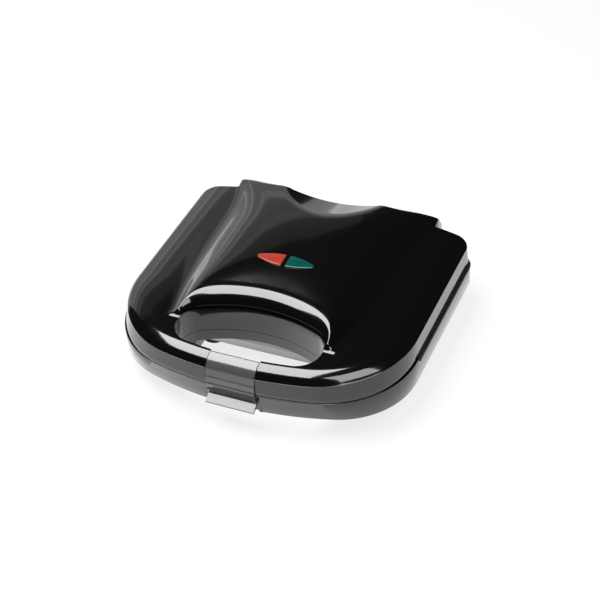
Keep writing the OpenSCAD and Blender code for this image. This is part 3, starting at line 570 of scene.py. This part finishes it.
def ray_length(x, angle):
    """Distance from the hinge axis to the outside of the housing."""
    x = np.full(angle.shape, x)
    lo, hi = np.zeros(angle.shape), np.full(angle.shape, 40.0)
    for _ in range(30):
        mid = (lo + hi) / 2
        y, z = HINGE_Y + mid * np.cos(angle), HINGE_Z + mid * np.sin(angle)
        sunk = SUNK * smooth((REAR_Y - y) / 3)
        inside = z < housing_top(x, y) - sunk
        lo, hi = np.where(inside, mid, lo), np.where(inside, hi, mid)
    bridge = BRIDGE_Z - HINGE_Z - (HINGE_Y - BRIDGE_Y) * BRIDGE_SLOPE
    bridge = bridge / (np.sin(angle) + np.cos(angle) * BRIDGE_SLOPE)
    bridge = np.clip(bridge, SKIN_R, BARREL_MOST)
    barrel = np.where(angle > BARREL_ANGLE, bridge, SKIN_R)
    return soft_max(lo, barrel, 1.0)


print("housing above the axis", ray_length(KNUCKLE_X, np.array([math.pi / 2])))

# %% [markdown]
# The stations run from the inner to the outer end of a housing. The first and
# last ones draw in, so that both ends close with a small rounded edge.

# %%
angles = np.radians(np.concatenate([np.linspace(-6, 100, 74), np.linspace(101, 132, 18)]))
stations = [(BUMP_IN, None), (BUMP_IN, 1.1), (BUMP_IN + 0.3, 0.35), (BUMP_IN + 1.1, 0.0)]
stations += [(x, 0.0) for x in np.linspace(BUMP_IN + 2, BUMP_OUT - 2, 44)]
stations += [(BUMP_OUT - 1.1, 0.0), (BUMP_OUT - 0.3, 0.35), (BUMP_OUT, 1.1), (BUMP_OUT, None)]
rows = []
for x, inset in stations:
    reach_here = ray_length(min(max(x, BUMP_IN + 0.5), BUMP_OUT - 0.5), angles)
    reach_here = np.full(angles.shape, 0.02) if inset is None else reach_here - inset
    y, z = HINGE_Y + reach_here * np.cos(angles), HINGE_Z + reach_here * np.sin(angles)
    rows.append([(x, *point) for point in zip(y, z)] + [(x, HINGE_Y, HINGE_Z)])
housing = skin("hinge_housing_right", rows)
PIN_BORE, PAD_R = 2.55, SKIN_R - 0.6
combine(housing, rod(BUMP_IN + WALL, BUMP_OUT - WALL, HINGE_Y, HINGE_Z, SKIN_R - WALL + 0.1))
combine(housing, box(BUMP_IN + WALL, BUMP_OUT - WALL, 78, HINGE_Y, 30, HINGE_Z))
combine(housing, box(BUMP_IN - 2, BUMP_OUT + 2, 60, FAR, 30, HINGE_CUT_Z))
for x in (KNUCKLE_X - 12.9, KNUCKLE_X + 9.9):
    combine(housing, rod(x, x + 3, HINGE_Y, HINGE_Z, PAD_R), "UNION")
combine(housing, rod(KNUCKLE_X - 16, KNUCKLE_X + 16, HINGE_Y, HINGE_Z, PIN_BORE))
shade(housing, SHARP_TURN)


def mirrored(obj, name):
    """A copy on the other side of the middle, with its own mesh."""
    twin = obj.copy()
    twin.data = obj.data.copy()
    bpy.context.collection.objects.link(twin)
    twin.name = twin.data.name = name
    twin.data.transform(Matrix.Scale(-1, 4, (1, 0, 0)))
    twin.data.flip_normals()
    return twin


housing_left = mirrored(housing, "hinge_housing_left")
size_of(housing)

# %% [markdown]
# ## The base
#
# The base is a band that leans in towards its lower edge, with a belly that
# stands behind the handle. Both are lofts between outlines of the same family,
# with small steps at the edges so that they catch a thin line of light.

# %%
BASE = dict(half_w=112.2, front=FRONT_Y - 1.4, front_r=FRONT_R - 3, corner_r=CORNER_R - 7)
LOW = dict(half_w=112.3, front=FRONT_Y + 1.8, front_r=FRONT_R - 18, corner_r=CORNER_R - 15)
BELLY_Z, BELLY_FRONT, LIP_Z = 5.0, -29.0, 27.7
base_ring, low_ring = body_ring(**BASE), body_ring(**LOW)


def between(a, b, t):
    return a * (1 - t) + b * t


def inner_band(grow):
    return body_ring(grow, rear_in=-grow, **LOW), body_ring(grow, rear_in=-grow, **BASE)


def belly_ring(e, front, n=12):
    """A rectangle with round corners, drawn in by e at its sides and rear."""
    h, r, y1 = HALF_W - e, 14.0, REAR_Y - e
    corners = [(h - r, front + r, -90), (h - r, y1 - r, 0), (r - h, y1 - r, 90), (r - h, front + r, 180)]
    return np.concatenate([arc_points(x, y, r, a, a + 90, n) for x, y, a in corners])


MID_Z, LIP_REAR = 27.5, -39
soft_low, _ = inner_band(-1.0)
soft_top = body_ring(-0.5, rear_in=0.5, **BASE)
base = loft("base_shell", [
    (soft_low, BAND_Z), (between(soft_low, low_ring, 0.7), BAND_Z + 0.3),
    (low_ring, BAND_Z + 1.0), (between(low_ring, base_ring, 0.5), MID_Z),
    (base_ring, BASE_TOP - 0.5), (between(base_ring, soft_top, 0.3), BASE_TOP - 0.15),
    (soft_top, BASE_TOP)])
rise = (BELLY_FRONT - LIP_REAR) * (BAND_Z - BELLY_Z) / (LIP_Z - BELLY_Z)
belly = loft("belly", [
    (belly_ring(14.4, BELLY_FRONT + 1.4), BELLY_Z),
    (belly_ring(13.4, BELLY_FRONT + 0.4), BELLY_Z + 0.4),
    (belly_ring(12.8, BELLY_FRONT), BELLY_Z + 1.4),
    (belly_ring(3, BELLY_FRONT - rise), BAND_Z + 0.4)])
combine(base, belly, "UNION")
size_of(base)

# %% [markdown]
# The hollow follows the same outlines one wall further in. What must stay
# solid is taken out of the hollow first: the wall round the handle opening,
# a cross wall, and the slope behind the handle.

# %%
low_in, base_in = inner_band(-WALL)
hollow = loft("hollow", [(low_in, BAND_Z + WALL), (base_in, BASE_TOP + 1)])
belly_room = loft("belly_room", [
    (belly_ring(13 + WALL, BELLY_FRONT + WALL + 3), BELLY_Z + WALL),
    (belly_ring(3 + WALL, BELLY_FRONT + WALL), BAND_Z + WALL + 1)])
combine(hollow, belly_room, "UNION")
wall_ring = opening_ring(WALL)
combine(hollow, loft("ring", [(wall_ring, 0), (wall_ring, 50)]))
combine(hollow, box(-FAR, FAR, PLATE_FRONT - 4.7, PLATE_FRONT - 2.3, 0, 50))
SLOPE_X = END_X + 13
combine(hollow, prism_x(-SLOPE_X - WALL, SLOPE_X + WALL, [
    (END_Y - WALL, 0), (END_Y - WALL, LIP_Z + WALL), (LIP_REAR + 1, LIP_Z + WALL),
    (BELLY_FRONT + 3.2, BELLY_Z + WALL), (BELLY_FRONT + 3.2, 0)]))
combine(base, hollow)
size_of(base)

# %% [markdown]
# Two knuckles stand up at the rear and carry the lid's pins. The handle
# opening and the slope behind it go right through the base.

# %%
KNUCKLE_HALF, KNUCKLE_R, PIN_HALF = 9.5, 6.8, 16.0
NECK = [(-6.57, -1.76), (0, 0), (-2.33, -6.39), (-3.35, -9.2),
        (-7.5, -13), (-7.6, -24), (-14, -24), (-12.4, -14)]


def knuckle_parts(x0, x1):
    """A barrel round the pin on a neck that leans in to the rear wall."""
    body = prism_x(x0, x1, [(HINGE_Y + y, HINGE_Z + z) for y, z in NECK])
    return combine(body, rod(x0, x1, HINGE_Y, HINGE_Z, KNUCKLE_R), "UNION")


combine(base, box(-FAR, FAR, PLATE_FRONT, FAR, BASE_TOP - 2.7, 50))
for side in (-1, 1):
    ends = both_ways(side, KNUCKLE_X - KNUCKLE_HALF, KNUCKLE_X + KNUCKLE_HALF)
    combine(base, knuckle_parts(*ends), "UNION")
hole = opening_ring()
combine(base, loft("opening", [(hole, 0), (hole, 50)]))
combine(base, prism_x(-SLOPE_X, SLOPE_X, [
    (END_Y, LIP_Z), (LIP_REAR, LIP_Z), (BELLY_FRONT, BELLY_Z),
    (BELLY_FRONT, BELLY_Z - 1), (END_Y, BELLY_Z - 1)]))

# %% [markdown]
# The clip lies in a recess whose back wall follows the clip's own face, and
# its hook reaches through a slot in that wall. The pins are bored last.

# %%
PART_Z, FACE_OUT = 36.7, 1.4
CLIP_T, CLIP_GAP = 2.2, 0.5
SLOT_HALF, SLOT_LOW, SLOT_HIGH = 11.6, 27.1, 30.9


def clip_face(z):
    """Where the face of the clip lies, at a height."""
    if z > PART_Z:
        return FRONT_Y - FACE_OUT * (EDGE_Z - z) / (EDGE_Z - PART_Z)
    return FRONT_Y - FACE_OUT + 2 * FACE_OUT * (PART_Z - z) / (PART_Z - BAND_Z)


behind_low, behind_high = (clip_face(z) + CLIP_T + CLIP_GAP for z in (BAND_Z, PART_Z))
combine(base, prism_x(-CLIP_ROOM - WALL, CLIP_ROOM + WALL, [
    (clip_face(BAND_Z) + 1, BAND_Z + 0.3), (behind_low + WALL, BAND_Z + 0.3),
    (behind_high + WALL, BASE_TOP), (clip_face(PART_Z) + 1, BASE_TOP)]), "UNION")
combine(base, prism_x(-CLIP_ROOM, CLIP_ROOM, [
    (FRONT_Y - 12, BELLY_Z), (behind_low, BELLY_Z), (behind_low, BAND_Z),
    (behind_high, PART_Z), (behind_high, PART_Z + 2), (FRONT_Y - 12, PART_Z + 2)]))
combine(base, box(-SLOT_HALF, SLOT_HALF, FRONT_Y - 2, FRONT_Y + 8, SLOT_LOW, SLOT_HIGH))
for side in (-1, 1):
    x0, x1 = both_ways(side, KNUCKLE_X - PIN_HALF, KNUCKLE_X + PIN_HALF)
    combine(base, rod(x0, x1, HINGE_Y, HINGE_Z, PIN_BORE))
shade(base, SHARP_TURN)
size_of(base)

# %% [markdown]
# ## The clip
#
# The clip is one bent strip: it rolls over the front of the lid, runs down
# over grip steps and ends in a finger tab. The section is drawn once, pulled
# to width, and its edges are rounded by a bevel.

# %%
CLIP_W, CLIP_REAR, ROLL_END, ROLL_POINTS = 37.0, -90, 0.92, 18
TAB_Y, TAB_Z, TAB_TOP = FRONT_Y - 5.6, 24.2, 27.6
GRIPS, GRIP_TOP, GRIP_DEEP, GRIP_RUN = 3, 44.5, 0.9, 0.7


def roll_point(t, inset=0.0):
    """A point of the quarter roll over the front bar; t runs from its foot to its top."""
    a = math.radians(90 * t)
    y = FRONT_Y + inset + (ROLL_W - inset) * (1 - math.cos(a))
    return (y, EDGE_Z + (ROLL_H - inset) * math.sin(a))


outside = [(CLIP_REAR, EDGE_Z + ROLL_H)]
outside += [roll_point(t) for t in np.linspace(ROLL_END, 0, ROLL_POINTS)]
for z in [GRIP_TOP - i * (GRIP_TOP - TAB_TOP) / GRIPS for i in range(GRIPS)]:
    outside += [(clip_face(z), z), (clip_face(z) - GRIP_DEEP, z - GRIP_RUN)]
outside += [(clip_face(TAB_TOP), TAB_TOP), (TAB_Y, TAB_Z)]
inside = [(TAB_Y + 0.6, TAB_Z - 1.8), (clip_face(TAB_TOP) + 0.8, TAB_TOP - 2.6),
          (clip_face(TAB_TOP) + CLIP_T, TAB_TOP - 0.6), (clip_face(PART_Z) + CLIP_T, PART_Z)]
inside += [roll_point(t, CLIP_T) for t in np.linspace(0, ROLL_END, ROLL_POINTS)]
inside += [(CLIP_REAR, EDGE_Z + ROLL_H - CLIP_T)]
clip = prism_x(-CLIP_W / 2, CLIP_W / 2, outside + inside)
clip.name = clip.data.name = "clip_strip"
use(clip, "BEVEL", width=0.16 * MM, segments=2, limit_method="ANGLE", angle_limit=math.radians(24))
size_of(clip)

# %% [markdown]
# On its inner side the strip has the hook that catches the base, and two ears
# that turn on the pin. Flat faces then keep flat normals, so that the rolled
# top and the tab shine as evenly as they do on the real clip.

# %%
CLIP_Y, CLIP_Z, EAR_R, EAR_OUT, EAR_T, CLIP_BORE = -95.0, 49.9, 2.7, 0.6, 3.0, 1.3
HOOK_W, HOOK_Z, HOOK_REACH = 22.0, 27.7, 4.8
ROUND_POINTS, CLIP_TURN = 48, 40
root = clip_face(HOOK_Z) + 1
hook_end = clip_face(HOOK_Z) + HOOK_REACH
combine(clip, prism_x(-HOOK_W / 2, HOOK_W / 2, [
    (root, HOOK_Z - 0.2), (hook_end, HOOK_Z + 0.8),
    (hook_end, HOOK_Z + 2.4), (root, HOOK_Z + 2.4)]), "UNION")
for side in (-1, 1):
    x0, x1 = both_ways(side, CLIP_W / 2 - EAR_OUT - EAR_T, CLIP_W / 2 - EAR_OUT)
    ear = prism_x(x0, x1, [
        (CLIP_Y - EAR_R, CLIP_Z), (CLIP_Y + EAR_R, CLIP_Z), (CLIP_Y + 2, EDGE_Z + 8.3),
        (FRONT_Y + 3.6, EDGE_Z + 5.9), (FRONT_Y + 1.7, EDGE_Z + 2.2)])
    combine(ear, rod(x0, x1, CLIP_Y, CLIP_Z, EAR_R, ROUND_POINTS), "UNION")
    combine(clip, ear, "UNION")
combine(clip, rod(-30, 30, CLIP_Y, CLIP_Z, CLIP_BORE, ROUND_POINTS))
shade(clip, CLIP_TURN)
use(clip, "WEIGHTED_NORMAL", keep_sharp=True, weight=100)
size_of(clip)

# %% [markdown]
# ## The lenses
#
# Each lens stands a little proud of the crown and has a rounded upper edge.
# It is a stack of rings that draw in towards the top: each level says how far
# the plan grows and how high the ring stands over the crown.

# %%
LENS_LEVELS = [(0.0, -3.4), (0.0, -0.15), (-0.08, 0.08), (-0.25, 0.26), (-0.5, 0.38), (-0.75, 0.42)]
LENS_TURN = 50


def lens(name, side):
    """One lens: the plan of the right one, mirrored for the left."""
    rows = []
    for grow, lift in LENS_LEVELS:
        plan = lens_plan(grow)
        crown = TOP_Z - CROWN_R + np.sqrt(CROWN_R ** 2 - plan[:, 0] ** 2 - CROWN_Y ** 2)
        rows.append(level(plan * [side, 1], crown + lift))
    return shade(skin(name, rows, caps=True), LENS_TURN)


red_lens, green_lens = lens("lens_red", -1), lens("lens_green", 1)
size_of(red_lens)

# %% [markdown]
# ## Materials
#
# A small class lets shader maths be written as Python expressions. One method
# adds any other node: its settings first, then its values and links.

# %%
class Value:
    """Wraps a shader socket, so that plain operators add Math nodes."""

    def __init__(self, mat, socket):
        self.mat, self.socket = mat, socket

    def _math(self, operation, other):
        return self.mat.node("ShaderNodeMath", {"operation": operation}, {0: self, 1: other})

    def __add__(self, other):
        return self._math("ADD", other)

    __radd__ = __add__

    def __mul__(self, other):
        return self._math("MULTIPLY", other)

    __rmul__ = __mul__

    def above(self, edge, width):
        """0 below the edge and 1 above it, over a soft width."""
        return self.mat.node("ShaderNodeMapRange", {"clamp": True, "interpolation_type": "SMOOTHSTEP"},
                             {"Value": self, "From Min": edge - width, "From Max": edge + width})


class Finish:
    """A material whose nodes are added one by one."""

    def __init__(self, name):
        self.mat = bpy.data.materials.new(name)
        self.mat.use_nodes = True
        self.tree = self.mat.node_tree
        self.shader = self.tree.nodes["Principled BSDF"]
        self.place = self.node("ShaderNodeTexCoord", {}, {}, out="Object")

    def node(self, kind, settings, inputs, out=0):
        made = self.tree.nodes.new(kind)
        for key, value in settings.items():
            setattr(made, key, value)
        self.fill(made, inputs)
        return Value(self, made.outputs[out])

    def fill(self, made, inputs):
        for key, value in inputs.items():
            if isinstance(value, Value):
                self.tree.links.new(value.socket, made.inputs[key])
            else:
                made.inputs[key].default_value = value

    def noise(self, scale, detail=3.0):
        inputs = {"Vector": self.place, "Scale": scale, "Detail": detail, "Roughness": 0.55}
        return self.node("ShaderNodeTexNoise", {}, inputs, out="Fac")

    def mix(self, factor, a, b):
        return self.node("ShaderNodeMix", {"data_type": "RGBA"}, {0: factor, 6: a, 7: b}, out=2)

    def bump(self, height, depth):
        inputs = {"Height": height, "Distance": depth, "Strength": 1.0}
        return self.node("ShaderNodeBump", {}, inputs, out="Normal")

    def set(self, **inputs):
        """Sets inputs of the main shader; base_color stands for Base Color."""
        names = {key.replace("_", " ").title().replace("Ior", "IOR"): value for key, value in inputs.items()}
        self.fill(self.shader, names)
        return self


def rgb(r, g, b):
    return (r, g, b, 1.0)

# %% [markdown]
# ## The kinds of surface
#
# Each kind is a function, so that two parts of one kind differ only in their
# numbers. The housings are gloss black plastic, which mirrors the lights; the
# clip is the same plastic with silver lacquer, so it stays grey in the dark.

# %%
def moulded(name, dark, light, rough, wave, coat):
    """Moulded plastic: faint flow waves, fine dust, a slightly uneven gloss, a clear coat."""
    f = Finish(name)
    dust = f.noise(900.0, 2.0).above(0.66, 0.05)
    uneven = f.noise(35.0, 3.0)
    f.set(base_color=f.mix(dust * 0.5, rgb(*dark), rgb(*light)), roughness=rough + 0.05 * uneven,
          specular_ior_level=0.5, ior=1.5, coat_weight=coat, coat_roughness=0.05,
          normal=f.bump(f.noise(28.0, 2.0), wave))
    return f.mat


def coated_metal():
    """Cast plates with a sprayed non-stick coat: fine speckle and a soft sheen."""
    f = Finish("nonstick")
    speck = f.noise(1500.0, 2.0)
    f.set(base_color=f.mix(speck.above(0.64, 0.04), rgb(0.02, 0.02, 0.021), rgb(0.06, 0.06, 0.062)),
          roughness=0.33 + 0.12 * f.noise(60.0), normal=f.bump(speck, 0.00004))
    return f.mat


def metal(name, colour, rough, streak):
    """Plain sheet or wire: a drawn grain along X and light stains."""
    f = Finish(name)
    lie = f.node("ShaderNodeMapping", {}, {"Vector": f.place, "Scale": (40.0, 900.0, 900.0)})
    grain = f.node("ShaderNodeTexNoise", {}, {"Vector": lie, "Scale": 1.0, "Detail": 3.0}, out="Fac")
    stain = f.noise(45.0, 4.0).above(0.55, 0.15)
    darker = rgb(*(0.72 * c for c in colour))
    f.set(base_color=f.mix(stain, rgb(*colour), darker), metallic=1.0,
          roughness=rough + streak * grain, normal=f.bump(grain, 0.00002))
    return f.mat


def plain(name, dark, light, rough, grain_size, depth):
    """Rubber or heat-proof plastic with a fine tooled grain."""
    f = Finish(name)
    grain = f.noise(grain_size, 3.0)
    f.set(base_color=f.mix(grain, rgb(*dark), rgb(*light)), roughness=rough + 0.1 * f.noise(40.0),
          normal=f.bump(grain, depth))
    return f.mat


def clear_plastic(name, dark, light, painted_glow):
    """A tinted lens with soft streaks, glossy all over; its weak glow is painted light, standing in for
    light seen through its depth.
    """
    f = Finish(name)
    streak = f.noise(220.0, 2.0)
    # Painted glow: the emission lights the lens from within, though it is no lamp, standing in for light
    # seen through its tinted depth.
    f.set(base_color=f.mix(streak, rgb(*dark), rgb(*light)), roughness=0.14 + 0.04 * f.noise(60.0),
          coat_weight=0.3, coat_roughness=0.03, emission_color=f.mix(streak, rgb(*dark), rgb(*light)),
          emission_strength=painted_glow)
    return f.mat


# %% [markdown]
# ## Which piece has which surface
#
# Every CAD node names the slot of its material, so one table dresses them all.
# The pieces made here take the slot of the node that they replace.

# %%
FINISHES = {
    "black_gloss": moulded("black_gloss", (0.002, 0.002, 0.0022), (0.005, 0.005, 0.005), 0.10, 0.00002, 0.8),
    "black_matte": moulded("black_matte", (0.012, 0.012, 0.0125), (0.03, 0.03, 0.03), 0.48, 0.00008, 0.0),
    "clip_gloss": moulded("clip_gloss", (0.06, 0.06, 0.062), (0.08, 0.08, 0.08), 0.16, 0.00002, 0.8),
    "nonstick": coated_metal(),
    "steel_dull": metal("steel_dull", (0.50, 0.49, 0.47), 0.28, 0.16),
    "shield_alu": metal("shield_alu", (0.66, 0.66, 0.66), 0.22, 0.14),
    "cream_plastic": plain("cream_plastic", (0.70, 0.66, 0.56), (0.80, 0.76, 0.66), 0.5, 500.0, 0.00005),
    "black_rubber": plain("black_rubber", (0.012, 0.012, 0.012), (0.024, 0.024, 0.024), 0.62, 800.0, 0.0001),
    # The last number of each lens is the strength of its painted glow.
    "red_lens": clear_plastic("red_lens", (0.24, 0.020, 0.012), (0.36, 0.045, 0.025), 0.08),
    "green_lens": clear_plastic("green_lens", (0.0, 0.035, 0.030), (0.0, 0.075, 0.06), 0.08),
    "lamp_glass": plain("lamp_glass", (0.78, 0.62, 0.48), (0.9, 0.76, 0.62), 0.12, 200.0, 0.00002),
}
for part in frame["record"]["subparts"]:
    slots = frame["nodes"][part["node"]].data.materials
    slots.clear()
    slots.append(FINISHES[part["material_slot"]])

PIECES = [
    (lid, "lid", "black_gloss", "lid_housing"), (housing, "lid", "black_gloss", "lid_housing"),
    (housing_left, "lid", "black_gloss", "lid_housing"), (base, "base", "black_gloss", "base_housing"),
    (clip, "clip", "clip_gloss", "clip"), (red_lens, "lid", "red_lens", "red_lens"),
    (green_lens, "lid", "green_lens", "green_lens"),
]
for piece, body, finish, node in PIECES:
    piece.data.materials.clear()
    piece.data.materials.append(FINISHES[finish])
    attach(piece, body)
    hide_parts(node)
print("new pieces", [p[0].name for p in PIECES])

# %% [markdown]
# ## The floor
#
# The floor is plain and pale. Most of what the camera and mirrored rays see of
# it is an even white, as the photograph's ground is. The rest is lit, which
# keeps the shadow of the object. Light that it sends on is that of plain paint.

# %%
WHITE_SHARE = 0.8
deselect()
bpy.ops.mesh.primitive_plane_add(size=6.0)
floor = bpy.context.object
floor.name = floor.data.name = "floor"
ground = Finish("floor_white")
ground.set(base_color=rgb(0.84, 0.84, 0.84), roughness=0.9, specular_ior_level=0.0)
rays = [ground.node("ShaderNodeLightPath", {}, {}, out=kind)
        for kind in ("Is Camera Ray", "Is Glossy Ray", "Is Transmission Ray")]
white = ground.node("ShaderNodeEmission", {}, {"Color": rgb(1.0, 1.0, 1.0), "Strength": 1.0})
lit = Value(ground, ground.shader.outputs[0])
seen_white = (rays[0] + rays[1] + rays[2]) * WHITE_SHARE
shown = ground.node("ShaderNodeMixShader", {}, {0: seen_white, 1: lit, 2: white})
ground.fill(ground.tree.nodes["Material Output"], {"Surface": shown})
floor.data.materials.append(ground.mat)
print("floor seen as white", WHITE_SHARE)

# %% [markdown]
# ## The lights
#
# A gloss black object shows little but reflections, so each light is placed
# by what it has to draw. The big panel overhead makes the white bands on the
# front bar and on the rim of the opening. The right one makes the soft patch on
# the front right. The low bands behind on the left fade upwards and make the
# grey gradient on the rear left of the lid.

# %%
def area_light(name, place, aim, size_x, size_y, power):
    deselect()
    bpy.ops.object.light_add(type="AREA", location=place)
    lamp = bpy.context.object
    lamp.name = name
    lamp.data.shape = "RECTANGLE"
    lamp.data.size, lamp.data.size_y, lamp.data.energy = size_x, size_y, power
    lamp.rotation_euler = (Vector(aim) - Vector(place)).to_track_quat("-Z", "Y").to_euler()
    return lamp


AIM = (0.0, 0.0, 0.04)
BANDS = ((0.10, 0.55), (0.32, 0.60), (0.54, 0.50), (0.76, 0.32), (0.98, 0.12))
area_light("overhead", (-0.37, -0.10, 1.0), (-0.37, -0.10, 0.0), 0.82, 0.90, 20.0)
area_light("right", (0.60, -0.30, 1.0), AIM, 0.75, 0.60, 6.5)
for i, (height, power) in enumerate(BANDS):
    area_light(f"back_left_{i}", (-0.95, 1.0, height), AIM, 1.5, 0.26, power)

# %% [markdown]
# The world is nearly dark for the object and white for the camera, so that
# nothing but the lights and the floor is mirrored.

# %%
SKY_DARK = 0.015
world = bpy.data.worlds.new("world")
bpy.context.scene.world = world
world.use_nodes = True
tree = world.node_tree
sky = tree.nodes["Background"]
path = tree.nodes.new("ShaderNodeLightPath")
seen = tree.nodes.new("ShaderNodeMix")
seen.data_type = "RGBA"
seen.inputs[6].default_value = rgb(SKY_DARK, SKY_DARK, SKY_DARK)
seen.inputs[7].default_value = rgb(1.0, 1.0, 1.0)
tree.links.new(path.outputs["Is Camera Ray"], seen.inputs[0])
tree.links.new(seen.outputs[2], sky.inputs["Color"])
sky.inputs["Strength"].default_value = 1.0
print("world for the object", SKY_DARK)

# %% [markdown]
# ## The camera
#
# The camera was fitted to the photograph: its place, its three axes and its
# lens bring the outline of the CAD onto the outline in the picture.

# %%
bpy.ops.object.camera_add(location=(0.39209, -0.76782, 0.76123))
camera = bpy.context.object
right = Vector((0.91654206, 0.39424893, -0.06721928))
up = Vector((-0.20798284, 0.61341503, 0.76188263))
back = Vector((0.34160473, -0.68431702, 0.64421769))
camera.rotation_euler = Matrix((right, up, back)).transposed().to_euler()
camera.data.lens, camera.data.sensor_width = 91.74, 36.0
camera.data.clip_start = 0.01
bpy.context.scene.camera = camera
bpy.context.scene.view_settings.view_transform = "Standard"

print("camera", tuple(camera.location), camera.data.lens)
